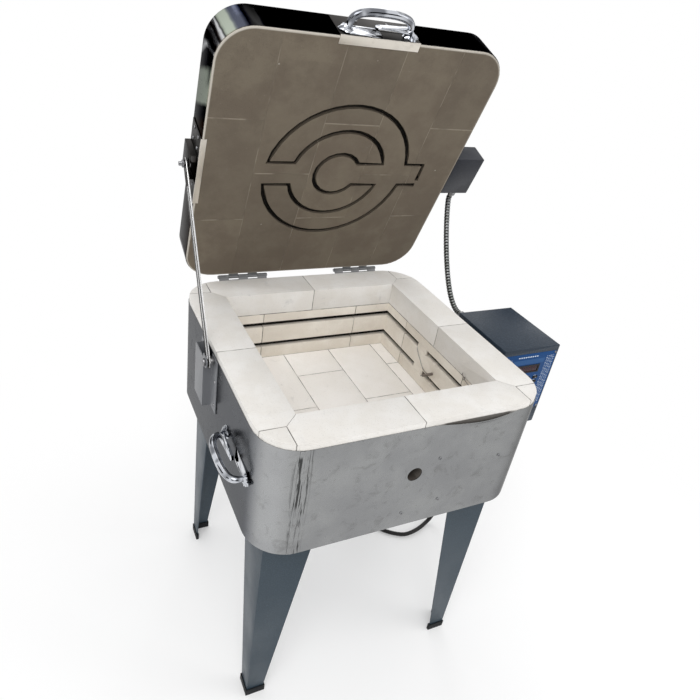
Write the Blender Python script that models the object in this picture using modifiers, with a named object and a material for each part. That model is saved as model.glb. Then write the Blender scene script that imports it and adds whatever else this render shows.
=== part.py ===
"""Square top-loading glass kiln on legs: sheet-steel body lined with firebrick, a hinged
brick lid held open by a slotted arm, wall and lid heating elements, and a control box.

Units are metres, +Z is up, the front faces -Y and the control box is on the +X side.
The origin is on the floor, under the middle of the whole object.
"""
import math

import bmesh
import bpy
from mathutils import Matrix, Vector

# Driving dimensions of the body
BODY_WIDTH = 0.5588
BODY_CORNER_RADIUS = 0.0762
BRICK_WALL = 0.0762
RIM_COURSE_HEIGHT = 0.0508
WALL_COURSE_HEIGHT = 0.1143
FLOOR_BRICK_HEIGHT = 0.0744
BRICK_LENGTH = 0.2286
BRICK_WIDTH = 0.1143
BRICK_JOINT = 0.0008
JOINT_DEPTH = 0.0020
RIM_HEIGHT = 0.7182
RIM_STAND_UP = 0.0110
JACKET_THICKNESS = 0.0010
PAN_THICKNESS = 0.0015
FIT_GAP = 0.0003
CUT_OVERRUN = 0.0100

# Grooves and elements of the body
GROOVE_HEIGHT = 0.0125
GROOVE_DEPTH = 0.0160
UPPER_GROOVE_DROP = 0.0780
LOWER_GROOVE_DROP = 0.1305
COIL_RADIUS = 0.0045
COIL_BEND_RADIUS = 0.0100
LEAD_SPACING = 0.0360
LEAD_BORE_RADIUS = 0.0085
LEAD_CLEARANCE = 0.0005
LEAD_BLOCK_MARGIN = 0.0110
LEAD_BLOCK_CORNER_RADIUS = 0.0060
LEAD_TAIL = 0.0150

# Peephole and thermocouple
PEEPHOLE_RADIUS = 0.0145
PEEPHOLE_X = 0.0034
PEEPHOLE_DROP = 0.1155
THERMOCOUPLE_RADIUS = 0.0032
THERMOCOUPLE_REACH = 0.0250
THERMOCOUPLE_Y = -0.0180
THERMOCOUPLE_DROP = 0.1100

# Legs and feet
LEG_INSET_X = 0.0314
LEG_INSET_Y = 0.0434
LEG_SHEET = 0.0020
LEG_TOP_WIDTH = 0.1040
LEG_FOOT_WIDTH = 0.0340
LEG_FLANGE = 0.0240
FOOT_SOLE = 0.0040
FOOT_WALL = 0.0020
FOOT_HEIGHT = 0.0180

# Bow handles
HANDLE_SPACING = 0.1240
HANDLE_REACH = 0.0330
HANDLE_TUBE_RADIUS = 0.0068
HANDLE_BEND_RADIUS = 0.0240
HANDLE_FOOT_LENGTH = 0.0320
HANDLE_FOOT_WIDTH = 0.0260
HANDLE_FOOT_THICKNESS = 0.0040
HANDLE_NECK_HEIGHT = 0.0120
FOOT_ROUND_SHARE = 0.45
FLARE_FOOT_SHARE = 0.46
FLARE_HEIGHT_SHARE = 0.55
FLARE_TOP_SHARE = 1.06
FLARE_MIDDLE_SHARE = 1.30
SIDE_HANDLE_INSET = 0.1294
SIDE_HANDLE_DROP = 0.1137

# Lid
LID_INSET = 0.0034
LID_CORNER_RADIUS = 0.0640
LID_DEPTH = 0.0665
LID_BRICK_PROUD = 0.0030
LID_SHELL_THICKNESS = 0.0010
LID_BACK_EDGE_RADIUS = 0.0040
LID_CLOSED_GAP = 0.0005
LID_OPEN_DEGREES = 68.4

# Lid element: three arcs about the middle of the lid, joined by straight runs
LID_ARC_OUTER_SHARE = 0.550725
LID_ARC_MIDDLE_SHARE = 0.358696
LID_ARC_INNER_SHARE = 0.172101
LID_ARC_GAP = 0.0520
LID_ARC_CENTRE_X = 0.0020
LID_LEAD_INSET = 0.0810
LID_GROOVE_RADIUS = 0.0062
LID_GROOVE_SINK = 0.0042
LID_COIL_RADIUS = 0.0036
LID_COIL_DIVE = 0.0140
LID_COIL_DIVE_RUN = 0.0180
LID_LEAD_CLEARANCE = 0.0008
LID_COIL_SEAT_GAP = 0.0008
LID_LEAD_TAIL = 0.0080
LID_LEAD_SPACING = 0.0150

# Hinges
HINGE_AXIS_BACK = 0.0086
HINGE_AXIS_RISE = 0.0040
HINGE_LENGTH = 0.1100
HINGE_CORNER_MARGIN = 0.0072
HINGE_SHEET = 0.0016
HINGE_LEAF_HEIGHT = 0.0520
HINGE_LEAF_START = 0.0065
HINGE_KNUCKLE_RADIUS = 0.0043
HINGE_BORE_RADIUS = 0.0026
HINGE_PIN_RADIUS = 0.0022
HINGE_PIN_HEAD = 0.0036
HINGE_PIN_HEAD_LENGTH = 0.0015
HINGE_KNUCKLES = 5
HINGE_KNUCKLE_GAP = 0.0006

# Slotted support arm, its pivot on the lid and its pin on the body
ARM_OUTBOARD = 0.0126
ARM_SHEET = 0.0030
ARM_WIDTH = 0.0220
ARM_PIVOT_DEPTH = 0.0260
ARM_PIN_RADIUS = 0.0040
ARM_SLOT_CLEARANCE = 0.0004
ARM_END_MARGIN = 0.0080
ARM_COLLAR_RADIUS = 0.0062
ARM_HEAD_RADIUS = 0.0072
ARM_HEAD_LENGTH = 0.0042
ARM_BOLT_TAIL = 0.0060

# Guide bracket on the body and hat bracket on the lid
BRACKET_SHEET = 0.0020
GUIDE_HEIGHT = 0.1090
GUIDE_DEPTH = 0.0560
GUIDE_TOP_DROP = 0.0170
GUIDE_EAR_RADIUS = 0.0110
GUIDE_FRONT_Y = 0.0130
GUIDE_FLANGE = 0.0200
GUIDE_OUTBOARD = 0.0025
LID_BRACKET_LENGTH = 0.1430
LID_BRACKET_HAT = 0.0520
LID_BRACKET_LIP = 0.0090
LID_BRACKET_STAND_OFF = 0.0105
LID_BRACKET_SHEET = 0.0012
LID_BRACKET_HAT_START = 0.0140
LID_BRACKET_EDGE_MARGIN = 0.0060
FRONT_BRACKET_LENGTH = 0.1520
FRONT_BRACKET_LIP = 0.0140
FRONT_BRACKET_WEB = 0.0620
LID_HANDLE_DEPTH = 0.0175

# Control box on the right side
CONTROL_STANDOFF = 0.0250
CONTROL_WIDTH = 0.1510
CONTROL_DEPTH = 0.1700
CONTROL_HEIGHT = 0.2100
CONTROL_TOP_DROP = 0.0100
CONTROL_BACK_Y = 0.0620
CONTROL_SHEET = 0.0015
CONTROL_EDGE_RADIUS = 0.0025
STANDOFF_SHEET = 0.0015
STANDOFF_FLANGE = 0.0140
STANDOFF_MARGIN = 0.0150
PANEL_TOP_DROP = 0.0140
PANEL_HEIGHT = 0.1530
PANEL_SIDE_MARGIN = 0.0025
PANEL_SHEET = 0.0016
PANEL_CORNER_RADIUS = 0.0030
DISPLAY_WIDTH = 0.0680
DISPLAY_HEIGHT = 0.0190
DISPLAY_DROP = 0.0400
DISPLAY_THICKNESS = 0.0030
KEY_COLUMNS = 4
KEY_ROWS = 3
KEY_COLUMN_PITCH = 0.0220
KEY_ROW_PITCH = 0.0115
KEY_WIDTH = 0.0120
KEY_HEIGHT = 0.0062
KEY_STAND_OUT = 0.0026
KEY_LENGTH = 0.0090
KEY_TOP_DROP = 0.0650
KEY_CORNER_RADIUS = 0.0012
BOARD_THICKNESS = 0.0016
BOARD_MARGIN = 0.0080
KEY_TRAVEL = 0.0015

# Terminal box on the lid and the conduit from it to the control box
TERMINAL_WIDTH = 0.0720
TERMINAL_HEIGHT = 0.0920
TERMINAL_DEPTH = 0.0450
TERMINAL_FOOT_SPAN = 0.2260
TERMINAL_FACE_DEPTH = 0.0010
TERMINAL_EDGE_RADIUS = 0.0030
CONDUIT_OUTBOARD = 0.0490
CONDUIT_RADIUS = 0.0056
CONDUIT_RIB = 0.0007
CONDUIT_BORE = 0.0038
CONDUIT_RIBS = 62
CONDUIT_LID_DEPTH = 0.0220
CONDUIT_UPPER_PULL = 0.0150
CONDUIT_LOWER_PULL = 0.0700
CONDUIT_DROP = 0.0170
CONDUIT_CURVE_STEPS = 200
CONNECTOR_RADIUS = 0.0088
CONNECTOR_NUT_RADIUS = 0.0110
CONNECTOR_LENGTH = 0.0180
CONNECTOR_NUT_LENGTH = 0.0070

# Power cord
CORD_RADIUS = 0.0055
CORD_EXIT_INSET = 0.0856
CORD_EXIT_Y = 0.0250
CORD_CURVE_STEPS = 12
CORD_STEPS = 66
GLAND_LENGTH = 0.0240
GLAND_RADIUS = 0.0100
GLAND_NUT_RADIUS = 0.0130
GLAND_NUT_LENGTH = 0.0080
COIL_MIDDLE_RADIUS = 0.0620
COIL_TURNS_PER_LAYER = 1.25
COIL_CLIMB_TURNS = 0.5
COIL_PITCH = 0.0120
COIL_LAYER_RISE = 0.0120
COIL_POINTS_PER_TURN = 24
COIL_TAIL = 0.0300
COIL_CENTRE_X = 0.2525
COIL_CENTRE_Y = 0.3450
PLUG_BODY_RADIUS = 0.0140
PLUG_FACE_RADIUS = 0.0165
PLUG_LENGTH = 0.0400
PLUG_NECK_RADIUS = 0.0075
PLUG_NECK_LENGTH = 0.0200
PLUG_RIM_SHARE = 0.15
PLUG_TAPER_SHARE = 0.30
PLUG_SHOULDER_SHARE = 0.80
PLUG_NECK_SHARE = 1.20
PLUG_BLADE_LENGTH = 0.0170
PLUG_BLADE_WIDTH = 0.0063
PLUG_BLADE_THICKNESS = 0.0015
PLUG_BLADE_SPACING = 0.0127
PLUG_EARTH_RADIUS = 0.0024
PLUG_EARTH_DROP = 0.0080

LEAST_MITRE_SHARE = 0.2
ARC_STEPS = 8
WELD = 0.000002
ROUND_SIDES = 24
SMALL_SIDES = 12

# Places worked out from the sizes above
HALF = BODY_WIDTH / 2
OPENING_HALF = HALF - BRICK_WALL
CHAMBER_FLOOR = RIM_HEIGHT - RIM_COURSE_HEIGHT - WALL_COURSE_HEIGHT
BODY_BOTTOM = CHAMBER_FLOOR - FLOOR_BRICK_HEIGHT - FIT_GAP - PAN_THICKNESS
JACKET_TOP = RIM_HEIGHT - RIM_STAND_UP
BRICK_HALF = HALF - JACKET_THICKNESS - FIT_GAP
BRICK_RADIUS = BODY_CORNER_RADIUS - JACKET_THICKNESS - FIT_GAP
LEG_X = HALF - LEG_INSET_X
LEG_Y = HALF - LEG_INSET_Y
SIDE_HANDLE_Y = SIDE_HANDLE_INSET - HALF
HINGE_Y = HALF + HINGE_AXIS_BACK
HINGE_Z = RIM_HEIGHT + HINGE_AXIS_RISE
ELEMENT_INSET = OPENING_HALF + GROOVE_DEPTH - FIT_GAP - COIL_RADIUS
LEAD_HOLE_RADIUS = COIL_RADIUS + LEAD_CLEARANCE
THERMOCOUPLE_HOLE_RADIUS = THERMOCOUPLE_RADIUS + LEAD_CLEARANCE
HINGE_CENTRE_X = HALF - BODY_CORNER_RADIUS - HINGE_CORNER_MARGIN - HINGE_LENGTH / 2
LID_WIDTH = BODY_WIDTH - 2 * LID_INSET
LID_HALF = LID_WIDTH / 2
LID_LEAD_X = LID_HALF - LID_LEAD_INSET
LID_ARC_OUTER_RADIUS = LID_HALF * LID_ARC_OUTER_SHARE
LID_ARC_MIDDLE_RADIUS = LID_HALF * LID_ARC_MIDDLE_SHARE
LID_ARC_INNER_RADIUS = LID_HALF * LID_ARC_INNER_SHARE
CONDUIT_X = LID_HALF + CONDUIT_OUTBOARD
ARM_X = -HALF - ARM_OUTBOARD
LID_ANGLE = math.radians(LID_OPEN_DEGREES)
LID_FACE = RIM_HEIGHT + LID_CLOSED_GAP - HINGE_Z
LID_BACK_Y = LID_HALF - HINGE_Y
LID_THICKNESS = LID_DEPTH + LID_BRICK_PROUD
SHELL_FACE = LID_FACE + LID_BRICK_PROUD
CONTROL_LEFT = HALF + CONTROL_STANDOFF
CONTROL_RIGHT = CONTROL_LEFT + CONTROL_WIDTH
CORD_EXIT_X = CONTROL_LEFT + CORD_EXIT_INSET
CONTROL_TOP = RIM_HEIGHT - CONTROL_TOP_DROP
CONTROL_FRONT_Y = CONTROL_BACK_Y - CONTROL_DEPTH
CONTROL_MIDDLE_X = (CONTROL_LEFT + CONTROL_RIGHT) / 2
LID_COIL_DEPTH = LID_GROOVE_SINK + LID_GROOVE_RADIUS - LID_COIL_SEAT_GAP - LID_COIL_RADIUS
ARM_PIVOT_Z = LID_FACE + ARM_PIVOT_DEPTH
ARM_PIN_Z = HINGE_Z - ARM_PIVOT_Z
ARM_CLOSED_ANGLE = math.atan2(ARM_PIVOT_Z, HINGE_Y)
ARM_PIVOT_REACH = math.hypot(HINGE_Y, ARM_PIVOT_Z)
ARM_SPAN_CLOSED = 2 * ARM_PIVOT_REACH * math.sin(ARM_CLOSED_ANGLE)
ARM_SPAN_OPEN = 2 * ARM_PIVOT_REACH * math.sin(ARM_CLOSED_ANGLE + LID_ANGLE / 2)


def lid_point(x, span, depth):
    """World-frame place of a lid point at rest: span from the lid's back edge, depth from its face."""
    y = LID_BACK_Y - span
    z = LID_FACE + depth
    turn = -LID_ANGLE
    return Vector((x,
                   HINGE_Y + y * math.cos(turn) - z * math.sin(turn),
                   HINGE_Z + y * math.sin(turn) + z * math.cos(turn)))


# The origin lies under the middle of the object as it stands with its lid open
LEFT_EXTENT = -HALF - FIT_GAP - HANDLE_REACH - HANDLE_TUBE_RADIUS
FRONT_EXTENT = -HALF
BACK_EXTENT = lid_point(0, LID_BACK_EDGE_RADIUS, LID_THICKNESS).y
ORIGIN_X = (LEFT_EXTENT + CONTROL_RIGHT) / 2
ORIGIN_Y = (FRONT_EXTENT + BACK_EXTENT) / 2

MODEL = bpy.data.collections.new("glass_kiln")
CUTTERS = bpy.data.collections.new("cutters")


def clear_scene():
    for item in list(bpy.data.objects):
        bpy.data.objects.remove(item, do_unlink=True)
    bpy.context.scene.collection.children.link(MODEL)
    bpy.context.scene.collection.children.link(CUTTERS)


def material(name, colour, roughness, metallic):
    found = bpy.data.materials.get(name)
    if found:
        return found
    made = bpy.data.materials.new(name)
    made.use_nodes = True
    shader = made.node_tree.nodes["Principled BSDF"]
    shader.inputs["Base Color"].default_value = (*colour, 1.0)
    shader.inputs["Roughness"].default_value = roughness
    shader.inputs["Metallic"].default_value = metallic
    return made


def finish(kind, node):
    """Each node carries its own material, copied from one of these finishes."""
    finishes = {
        "stainless": ((0.56, 0.57, 0.58), 0.28, 1.0),
        "mirror_steel": ((0.72, 0.73, 0.74), 0.10, 1.0),
        "chrome": ((0.85, 0.85, 0.86), 0.08, 1.0),
        "zinc": ((0.62, 0.63, 0.65), 0.35, 1.0),
        "brick": ((0.80, 0.74, 0.62), 0.95, 0.0),
        "lid_brick": ((0.42, 0.37, 0.30), 0.95, 0.0),
        "element": ((0.05, 0.045, 0.04), 0.70, 0.3),
        "ceramic": ((0.88, 0.86, 0.82), 0.50, 0.0),
        "hammered": ((0.08, 0.095, 0.115), 0.45, 0.2),
        "blue": ((0.020, 0.085, 0.30), 0.45, 0.0),
        "black": ((0.012, 0.012, 0.013), 0.55, 0.0),
        "display": ((0.035, 0.004, 0.006), 0.10, 0.0),
        "board": ((0.02, 0.12, 0.05), 0.50, 0.0),
        "conduit": ((0.45, 0.46, 0.48), 0.35, 1.0),
    }
    colour, roughness, metallic = finishes[kind]
    return material(node + "_material", colour, roughness, metallic)


def empty(name, location, parent=None, turn_x=0.0):
    item = bpy.data.objects.new(name, None)
    item.location = location
    item.rotation_euler = (turn_x, 0, 0)
    item.parent = parent
    MODEL.objects.link(item)
    return item


def new_object(name, mesh, parent, kind=None, collection=None):
    item = bpy.data.objects.new(name, mesh)
    (collection or MODEL).objects.link(item)
    item.parent = parent
    if kind:
        mesh.materials.clear()
        mesh.materials.append(finish(kind, name))
    return item


def mesh_from(bm, name):
    mesh = bpy.data.meshes.new(name)
    bmesh.ops.recalc_face_normals(bm, faces=bm.faces)
    bm.to_mesh(mesh)
    bm.free()
    return mesh


def smooth(item, degrees=35):
    item.data.shade_smooth()
    item.data.set_sharp_from_angle(angle=math.radians(degrees))
    return item


def add_box(bm, low, high):
    """One closed box between two corners."""
    low = Vector(low)
    high = Vector(high)
    size = high - low
    placed = Matrix.Translation((low + high) / 2) @ Matrix.Diagonal((*size, 1))
    return bmesh.ops.create_cube(bm, size=1, matrix=placed)["verts"]


def add_cylinder(bm, start, end, radius, sides=ROUND_SIDES, end_radius=None):
    """One closed cylinder or cone from start to end."""
    start = Vector(start)
    end = Vector(end)
    run = end - start
    turned = run.to_track_quat('Z', 'Y').to_matrix().to_4x4()
    placed = Matrix.Translation((start + end) / 2) @ turned
    bmesh.ops.create_cone(bm, cap_ends=True, segments=sides, radius1=radius,
                          radius2=radius if end_radius is None else end_radius,
                          depth=run.length, matrix=placed)


def boxes_mesh(name, corner_pairs):
    bm = bmesh.new()
    for low, high in corner_pairs:
        add_box(bm, low, high)
    return mesh_from(bm, name)


def cylinders_mesh(name, runs, radius, sides=ROUND_SIDES):
    bm = bmesh.new()
    for start, end in runs:
        add_cylinder(bm, start, end, radius, sides)
    return mesh_from(bm, name)


def evaluated_mesh(item, name):
    """The item's mesh with its modifiers applied, in its own local space."""
    bpy.context.view_layer.update()
    graph = bpy.context.evaluated_depsgraph_get()
    return bpy.data.meshes.new_from_object(item.evaluated_get(graph), depsgraph=graph)


def rounded_rectangle(width, height, radius, steps=ARC_STEPS, centre=(0.0, 0.0)):
    """Outline points of a rectangle with round corners, counter-clockwise."""
    points = []
    for quarter, (sx, sy) in enumerate(((1, 1), (-1, 1), (-1, -1), (1, -1))):
        cx = centre[0] + sx * (width / 2 - radius)
        cy = centre[1] + sy * (height / 2 - radius)
        for step in range(steps + 1):
            angle = math.pi / 2 * (quarter + step / steps)
            points.append((cx + radius * math.cos(angle), cy + radius * math.sin(angle)))
    return points


def plate_mesh(name, outline, thickness, filled=True):
    """A flat outline in XY as a 2D curve, extruded about z = 0 and made a welded mesh."""
    curve = bpy.data.curves.new(name, 'CURVE')
    curve.dimensions = '2D'
    curve.fill_mode = 'BOTH' if filled else 'NONE'
    curve.extrude = thickness / 2
    spline = curve.splines.new('POLY')
    spline.points.add(len(outline) - 1)
    for point, (x, y) in zip(spline.points, outline):
        point.co = (x, y, 0, 1)
    spline.use_cyclic_u = True
    item = bpy.data.objects.new(name, curve)
    CUTTERS.objects.link(item)
    mesh = evaluated_mesh(item, name)
    bpy.data.objects.remove(item, do_unlink=True)
    bm = bmesh.new()
    bm.from_mesh(mesh)
    bmesh.ops.remove_doubles(bm, verts=bm.verts, dist=WELD)
    if filled:
        bmesh.ops.recalc_face_normals(bm, faces=bm.faces)
    bm.to_mesh(mesh)
    bm.free()
    return mesh


def tube_mesh(name, points, radius, sides_level=2, radii_share=None):
    """A round tube along a POLY curve with filled caps, made a welded mesh."""
    curve = bpy.data.curves.new(name, 'CURVE')
    curve.dimensions = '3D'
    curve.bevel_depth = radius
    curve.bevel_resolution = sides_level
    curve.use_fill_caps = True
    curve.twist_mode = 'MINIMUM'
    spline = curve.splines.new('POLY')
    spline.points.add(len(points) - 1)
    for index, point in enumerate(points):
        spline.points[index].co = (*point, 1)
        if radii_share:
            spline.points[index].radius = radii_share[index]
    item = bpy.data.objects.new(name, curve)
    CUTTERS.objects.link(item)
    mesh = evaluated_mesh(item, name)
    bpy.data.objects.remove(item, do_unlink=True)
    bm = bmesh.new()
    bm.from_mesh(mesh)
    bmesh.ops.remove_doubles(bm, verts=bm.verts, dist=WELD)
    bmesh.ops.recalc_face_normals(bm, faces=bm.faces)
    bm.to_mesh(mesh)
    bm.free()
    return mesh


def strip_outline(path, thickness):
    """Closed outline of a bent sheet: the path's points offset to both sides, mitred."""
    half = thickness / 2
    left = []
    right = []
    points = [Vector(point) for point in path]
    for index, point in enumerate(points):
        before = (point - points[index - 1]).normalized() if index else None
        after = (points[index + 1] - point).normalized() if index < len(points) - 1 else None
        first = before or after
        second = after or before
        normal = Vector((-first.y - second.y, first.x + second.x)).normalized()
        side = Vector((-first.y, first.x))
        reach = half / max(normal.dot(side), LEAST_MITRE_SHARE)
        left.append(tuple(point + normal * reach))
        right.append(tuple(point - normal * reach))
    return left + right[::-1]


def transform_mesh(mesh, matrix):
    mesh.transform(matrix)
    if matrix.determinant() < 0:
        mesh.flip_normals()
    return mesh


def join_meshes(name, meshes):
    """Several meshes in one, each still its own closed body."""
    bm = bmesh.new()
    for mesh in meshes:
        bm.from_mesh(mesh)
    return mesh_from(bm, name)


def cutter(name, mesh, parent):
    item = new_object(name, mesh, parent, collection=CUTTERS)
    item.hide_render = True
    item.display_type = 'WIRE'
    return item


def boolean(item, tool, operation='DIFFERENCE'):
    change = item.modifiers.new(tool.name, 'BOOLEAN')
    change.operation = operation
    change.solver = 'EXACT'
    change.object = tool
    return change


def cut(item, name, mesh):
    boolean(item, cutter(name, mesh, item.parent))


def union(item, name, mesh):
    boolean(item, cutter(name, mesh, item.parent), 'UNION')


# Turns an outline drawn in XY so that it stands in another plane
ALONG_X = Matrix(((0, 0, 1, 0), (1, 0, 0, 0), (0, 1, 0, 0), (0, 0, 0, 1)))
ALONG_Y = Matrix(((1, 0, 0, 0), (0, 0, -1, 0), (0, 1, 0, 0), (0, 0, 0, 1)))


def prism_x(name, outline_yz, low, high):
    """An outline in (y, z) extruded from x = low to x = high."""
    mesh = plate_mesh(name, outline_yz, high - low)
    return transform_mesh(mesh, Matrix.Translation(((low + high) / 2, 0, 0)) @ ALONG_X)


def prism_y(name, outline_xz, low, high):
    """An outline in (x, z) extruded from y = low to y = high."""
    mesh = plate_mesh(name, outline_xz, high - low)
    return transform_mesh(mesh, Matrix.Translation((0, (low + high) / 2, 0)) @ ALONG_Y)


def prism_z(name, outline_xy, low, high):
    """An outline in (x, y) extruded from z = low to z = high."""
    mesh = plate_mesh(name, outline_xy, high - low)
    return transform_mesh(mesh, Matrix.Translation((0, 0, (low + high) / 2)))


def turned_mesh(name, profile, steps=ROUND_SIDES):
    """A solid turned about Z from (radius, z) points that run from the top down."""
    bm = bmesh.new()
    verts = [bm.verts.new((radius, 0, z)) for radius, z in profile]
    for first, second in zip(verts, verts[1:]):
        bm.edges.new((first, second))
    mesh = bpy.data.meshes.new(name)
    bm.to_mesh(mesh)
    bm.free()
    item = new_object(name + "_profile", mesh, None, collection=CUTTERS)
    screw = item.modifiers.new("turn", 'SCREW')
    screw.steps = steps
    screw.render_steps = steps
    screw.use_merge_vertices = True
    screw.merge_threshold = WELD
    made = evaluated_mesh(item, name)
    bpy.data.objects.remove(item, do_unlink=True)
    bm = bmesh.new()
    bm.from_mesh(made)
    bmesh.ops.remove_doubles(bm, verts=bm.verts, dist=WELD)
    bmesh.ops.recalc_face_normals(bm, faces=bm.faces)
    bm.to_mesh(made)
    bm.free()
    return made


def aim(start, direction):
    """Placement that carries a piece's +Z onto a direction."""
    turned = Vector(direction).to_track_quat('Z', 'Y').to_matrix().to_4x4()
    return Matrix.Translation(start) @ turned


# Firebrick courses


def corner_slabs(low, high, along):
    """Thin slabs that part the four corner blocks, along X or along Y."""
    near = BRICK_LENGTH
    reach = HALF + CUT_OVERRUN
    pairs = []
    for sx in (-1, 1):
        for sy in (-1, 1):
            if along == 'X':
                x0, x1 = sorted((sx * near, sx * reach))
                y = sy * near
                pairs.append(((x0, y - BRICK_JOINT / 2, low), (x1, y + BRICK_JOINT / 2, high)))
            else:
                y0, y1 = sorted((sy * near, sy * reach))
                x = sx * near
                pairs.append(((x - BRICK_JOINT / 2, y0, low), (x + BRICK_JOINT / 2, y1, high)))
    return pairs


def mitre_slabs(name, low, high):
    """Slabs on the four diagonals, from inside the opening to the corner blocks."""
    meshes = []
    inner = OPENING_HALF - CUT_OVERRUN
    outer = BRICK_LENGTH + BRICK_JOINT
    for quarter in range(4):
        slab = boxes_mesh(name, [((inner * math.sqrt(2), -BRICK_JOINT / 2, low),
                                  (outer * math.sqrt(2), BRICK_JOINT / 2, high))])
        turn = Matrix.Rotation(math.radians(45 + 90 * quarter), 4, 'Z')
        meshes.append(transform_mesh(slab, turn))
    return join_meshes(name, meshes)


def seam_slabs(offsets, inner, outer, low, high):
    """Slabs across each wall at the given distances from its middle."""
    pairs = []
    for offset in offsets:
        for side in (-1, 1):
            a, b = sorted((side * inner, side * outer))
            pairs.append(((offset - BRICK_JOINT / 2, a, low), (offset + BRICK_JOINT / 2, b, high)))
            pairs.append(((a, offset - BRICK_JOINT / 2, low), (b, offset + BRICK_JOINT / 2, high)))
    return pairs


def brick_course(name, low, high, seam_offsets, frame):
    """A cemented ring of bricks: round-cornered outside, square opening, joints cut in its faces."""
    outline = rounded_rectangle(2 * BRICK_HALF, 2 * BRICK_HALF, BRICK_RADIUS)
    item = new_object(name, prism_z(name, outline, low, high), frame, "brick")
    below = low - CUT_OVERRUN
    above = high + CUT_OVERRUN
    cut(item, name + "_opening", boxes_mesh(name, [((-OPENING_HALF, -OPENING_HALF, below),
                                                    (OPENING_HALF, OPENING_HALF, above))]))
    # Joints on the inner faces
    near = OPENING_HALF - CUT_OVERRUN
    far = OPENING_HALF + JOINT_DEPTH
    cut(item, name + "_inner_joints", boxes_mesh(name, seam_slabs(seam_offsets, near, far, below, above)))
    return item


def groove_ring(name, drop):
    """A square ring that cuts one element groove into the four walls."""
    outer = OPENING_HALF + GROOVE_DEPTH
    inner = OPENING_HALF - CUT_OVERRUN
    low = RIM_HEIGHT - drop - GROOVE_HEIGHT / 2
    high = low + GROOVE_HEIGHT
    bm = bmesh.new()
    add_box(bm, (-outer, -outer, low), (outer, outer, high))
    item = new_object(name, mesh_from(bm, name), None, collection=CUTTERS)
    tool = cutter(name + "_core", boxes_mesh(name, [((-inner, -inner, low - CUT_OVERRUN),
                                                     (inner, inner, high + CUT_OVERRUN))]), None)
    boolean(item, tool)
    mesh = evaluated_mesh(item, name)
    bpy.data.objects.remove(item, do_unlink=True)
    bpy.data.objects.remove(tool, do_unlink=True)
    return mesh


def element_height(drop):
    """Height of an element's middle, lying on its groove's lower side."""
    return RIM_HEIGHT - drop - GROOVE_HEIGHT / 2 + FIT_GAP + COIL_RADIUS


def all_leads():
    """Places (y, z) where the ends of the wall elements leave through the right wall."""
    return [(side * LEAD_SPACING / 2, element_height(drop))
            for drop in (UPPER_GROOVE_DROP, LOWER_GROOVE_DROP) for side in (-1, 1)]


def thermocouple_place():
    return (THERMOCOUPLE_Y, RIM_HEIGHT - THERMOCOUPLE_DROP)


def holes_along_x(name, near, far, lead_radius, thermocouple_radius):
    """Cutters for the four leads and the thermocouple between two distances along X."""
    bm = bmesh.new()
    for y, z in all_leads():
        add_cylinder(bm, (near, y, z), (far, y, z), lead_radius, SMALL_SIDES)
    y, z = thermocouple_place()
    add_cylinder(bm, (near, y, z), (far, y, z), thermocouple_radius, SMALL_SIDES)
    return mesh_from(bm, name)


def make_brickwork(frame):
    wall = brick_course("wall_bricks", CHAMBER_FLOOR + FIT_GAP, RIM_HEIGHT - RIM_COURSE_HEIGHT,
                        (-BRICK_LENGTH / 2, BRICK_LENGTH / 2), frame)
    cut(wall, "upper_groove", groove_ring("upper_groove", UPPER_GROOVE_DROP))
    cut(wall, "lower_groove", groove_ring("lower_groove", LOWER_GROOVE_DROP))
    inside = OPENING_HALF - CUT_OVERRUN
    outside = HALF + CUT_OVERRUN
    cut(wall, "lead_bores", holes_along_x("lead_bores", inside, outside, LEAD_BORE_RADIUS,
                                          THERMOCOUPLE_HOLE_RADIUS))
    peep_z = RIM_HEIGHT - PEEPHOLE_DROP
    cut(wall, "peephole_bore", cylinders_mesh(
        "peephole_bore", [((PEEPHOLE_X, -outside, peep_z), (PEEPHOLE_X, -inside, peep_z))],
        PEEPHOLE_RADIUS))

    # The rim's joints also show on its top and on the part that stands above the jacket
    rim = brick_course("rim_bricks", RIM_HEIGHT - RIM_COURSE_HEIGHT + FIT_GAP, RIM_HEIGHT, (0.0,), frame)
    low = JACKET_TOP
    high = RIM_HEIGHT + CUT_OVERRUN
    cut(rim, "rim_corner_x", boxes_mesh("rim_corner_x", corner_slabs(low, high, 'X')))
    cut(rim, "rim_corner_y", boxes_mesh("rim_corner_y", corner_slabs(low, high, 'Y')))
    cut(rim, "rim_mitres", mitre_slabs("rim_mitres", low, high))
    cut(rim, "rim_seams", boxes_mesh("rim_seams", seam_slabs((0.0,), OPENING_HALF - CUT_OVERRUN,
                                                             HALF + CUT_OVERRUN, low, high)))

    outline = rounded_rectangle(2 * BRICK_HALF, 2 * BRICK_HALF, BRICK_RADIUS)
    floor = new_object("floor_bricks", prism_z("floor_bricks", outline, CHAMBER_FLOOR - FLOOR_BRICK_HEIGHT,
                                               CHAMBER_FLOOR), frame, "brick")
    low = CHAMBER_FLOOR - JOINT_DEPTH
    high = CHAMBER_FLOOR + CUT_OVERRUN
    reach = OPENING_HALF + BRICK_WALL / 2
    seams = [(side * BRICK_WIDTH * share) for side in (-1, 1) for share in COLUMN_SEAM_SHARES]
    columns = [((x - BRICK_JOINT / 2, -reach, low), (x + BRICK_JOINT / 2, reach, high)) for x in seams]
    cut(floor, "floor_columns", boxes_mesh("floor_columns", columns))
    edges = [-reach] + sorted(seams) + [reach]
    ends = []
    for index, (x0, x1) in enumerate(zip(edges, edges[1:])):
        middle_column = index % 2 == 0
        for y in ((-BRICK_LENGTH / 2, BRICK_LENGTH / 2) if middle_column else (0.0,)):
            ends.append(((x0, y - BRICK_JOINT / 2, low), (x1, y + BRICK_JOINT / 2, high)))
    cut(floor, "floor_ends", boxes_mesh("floor_ends", ends))


# Column joints of the floor, in brick widths from the middle
COLUMN_SEAM_SHARES = (0.5, 1.5)


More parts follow.
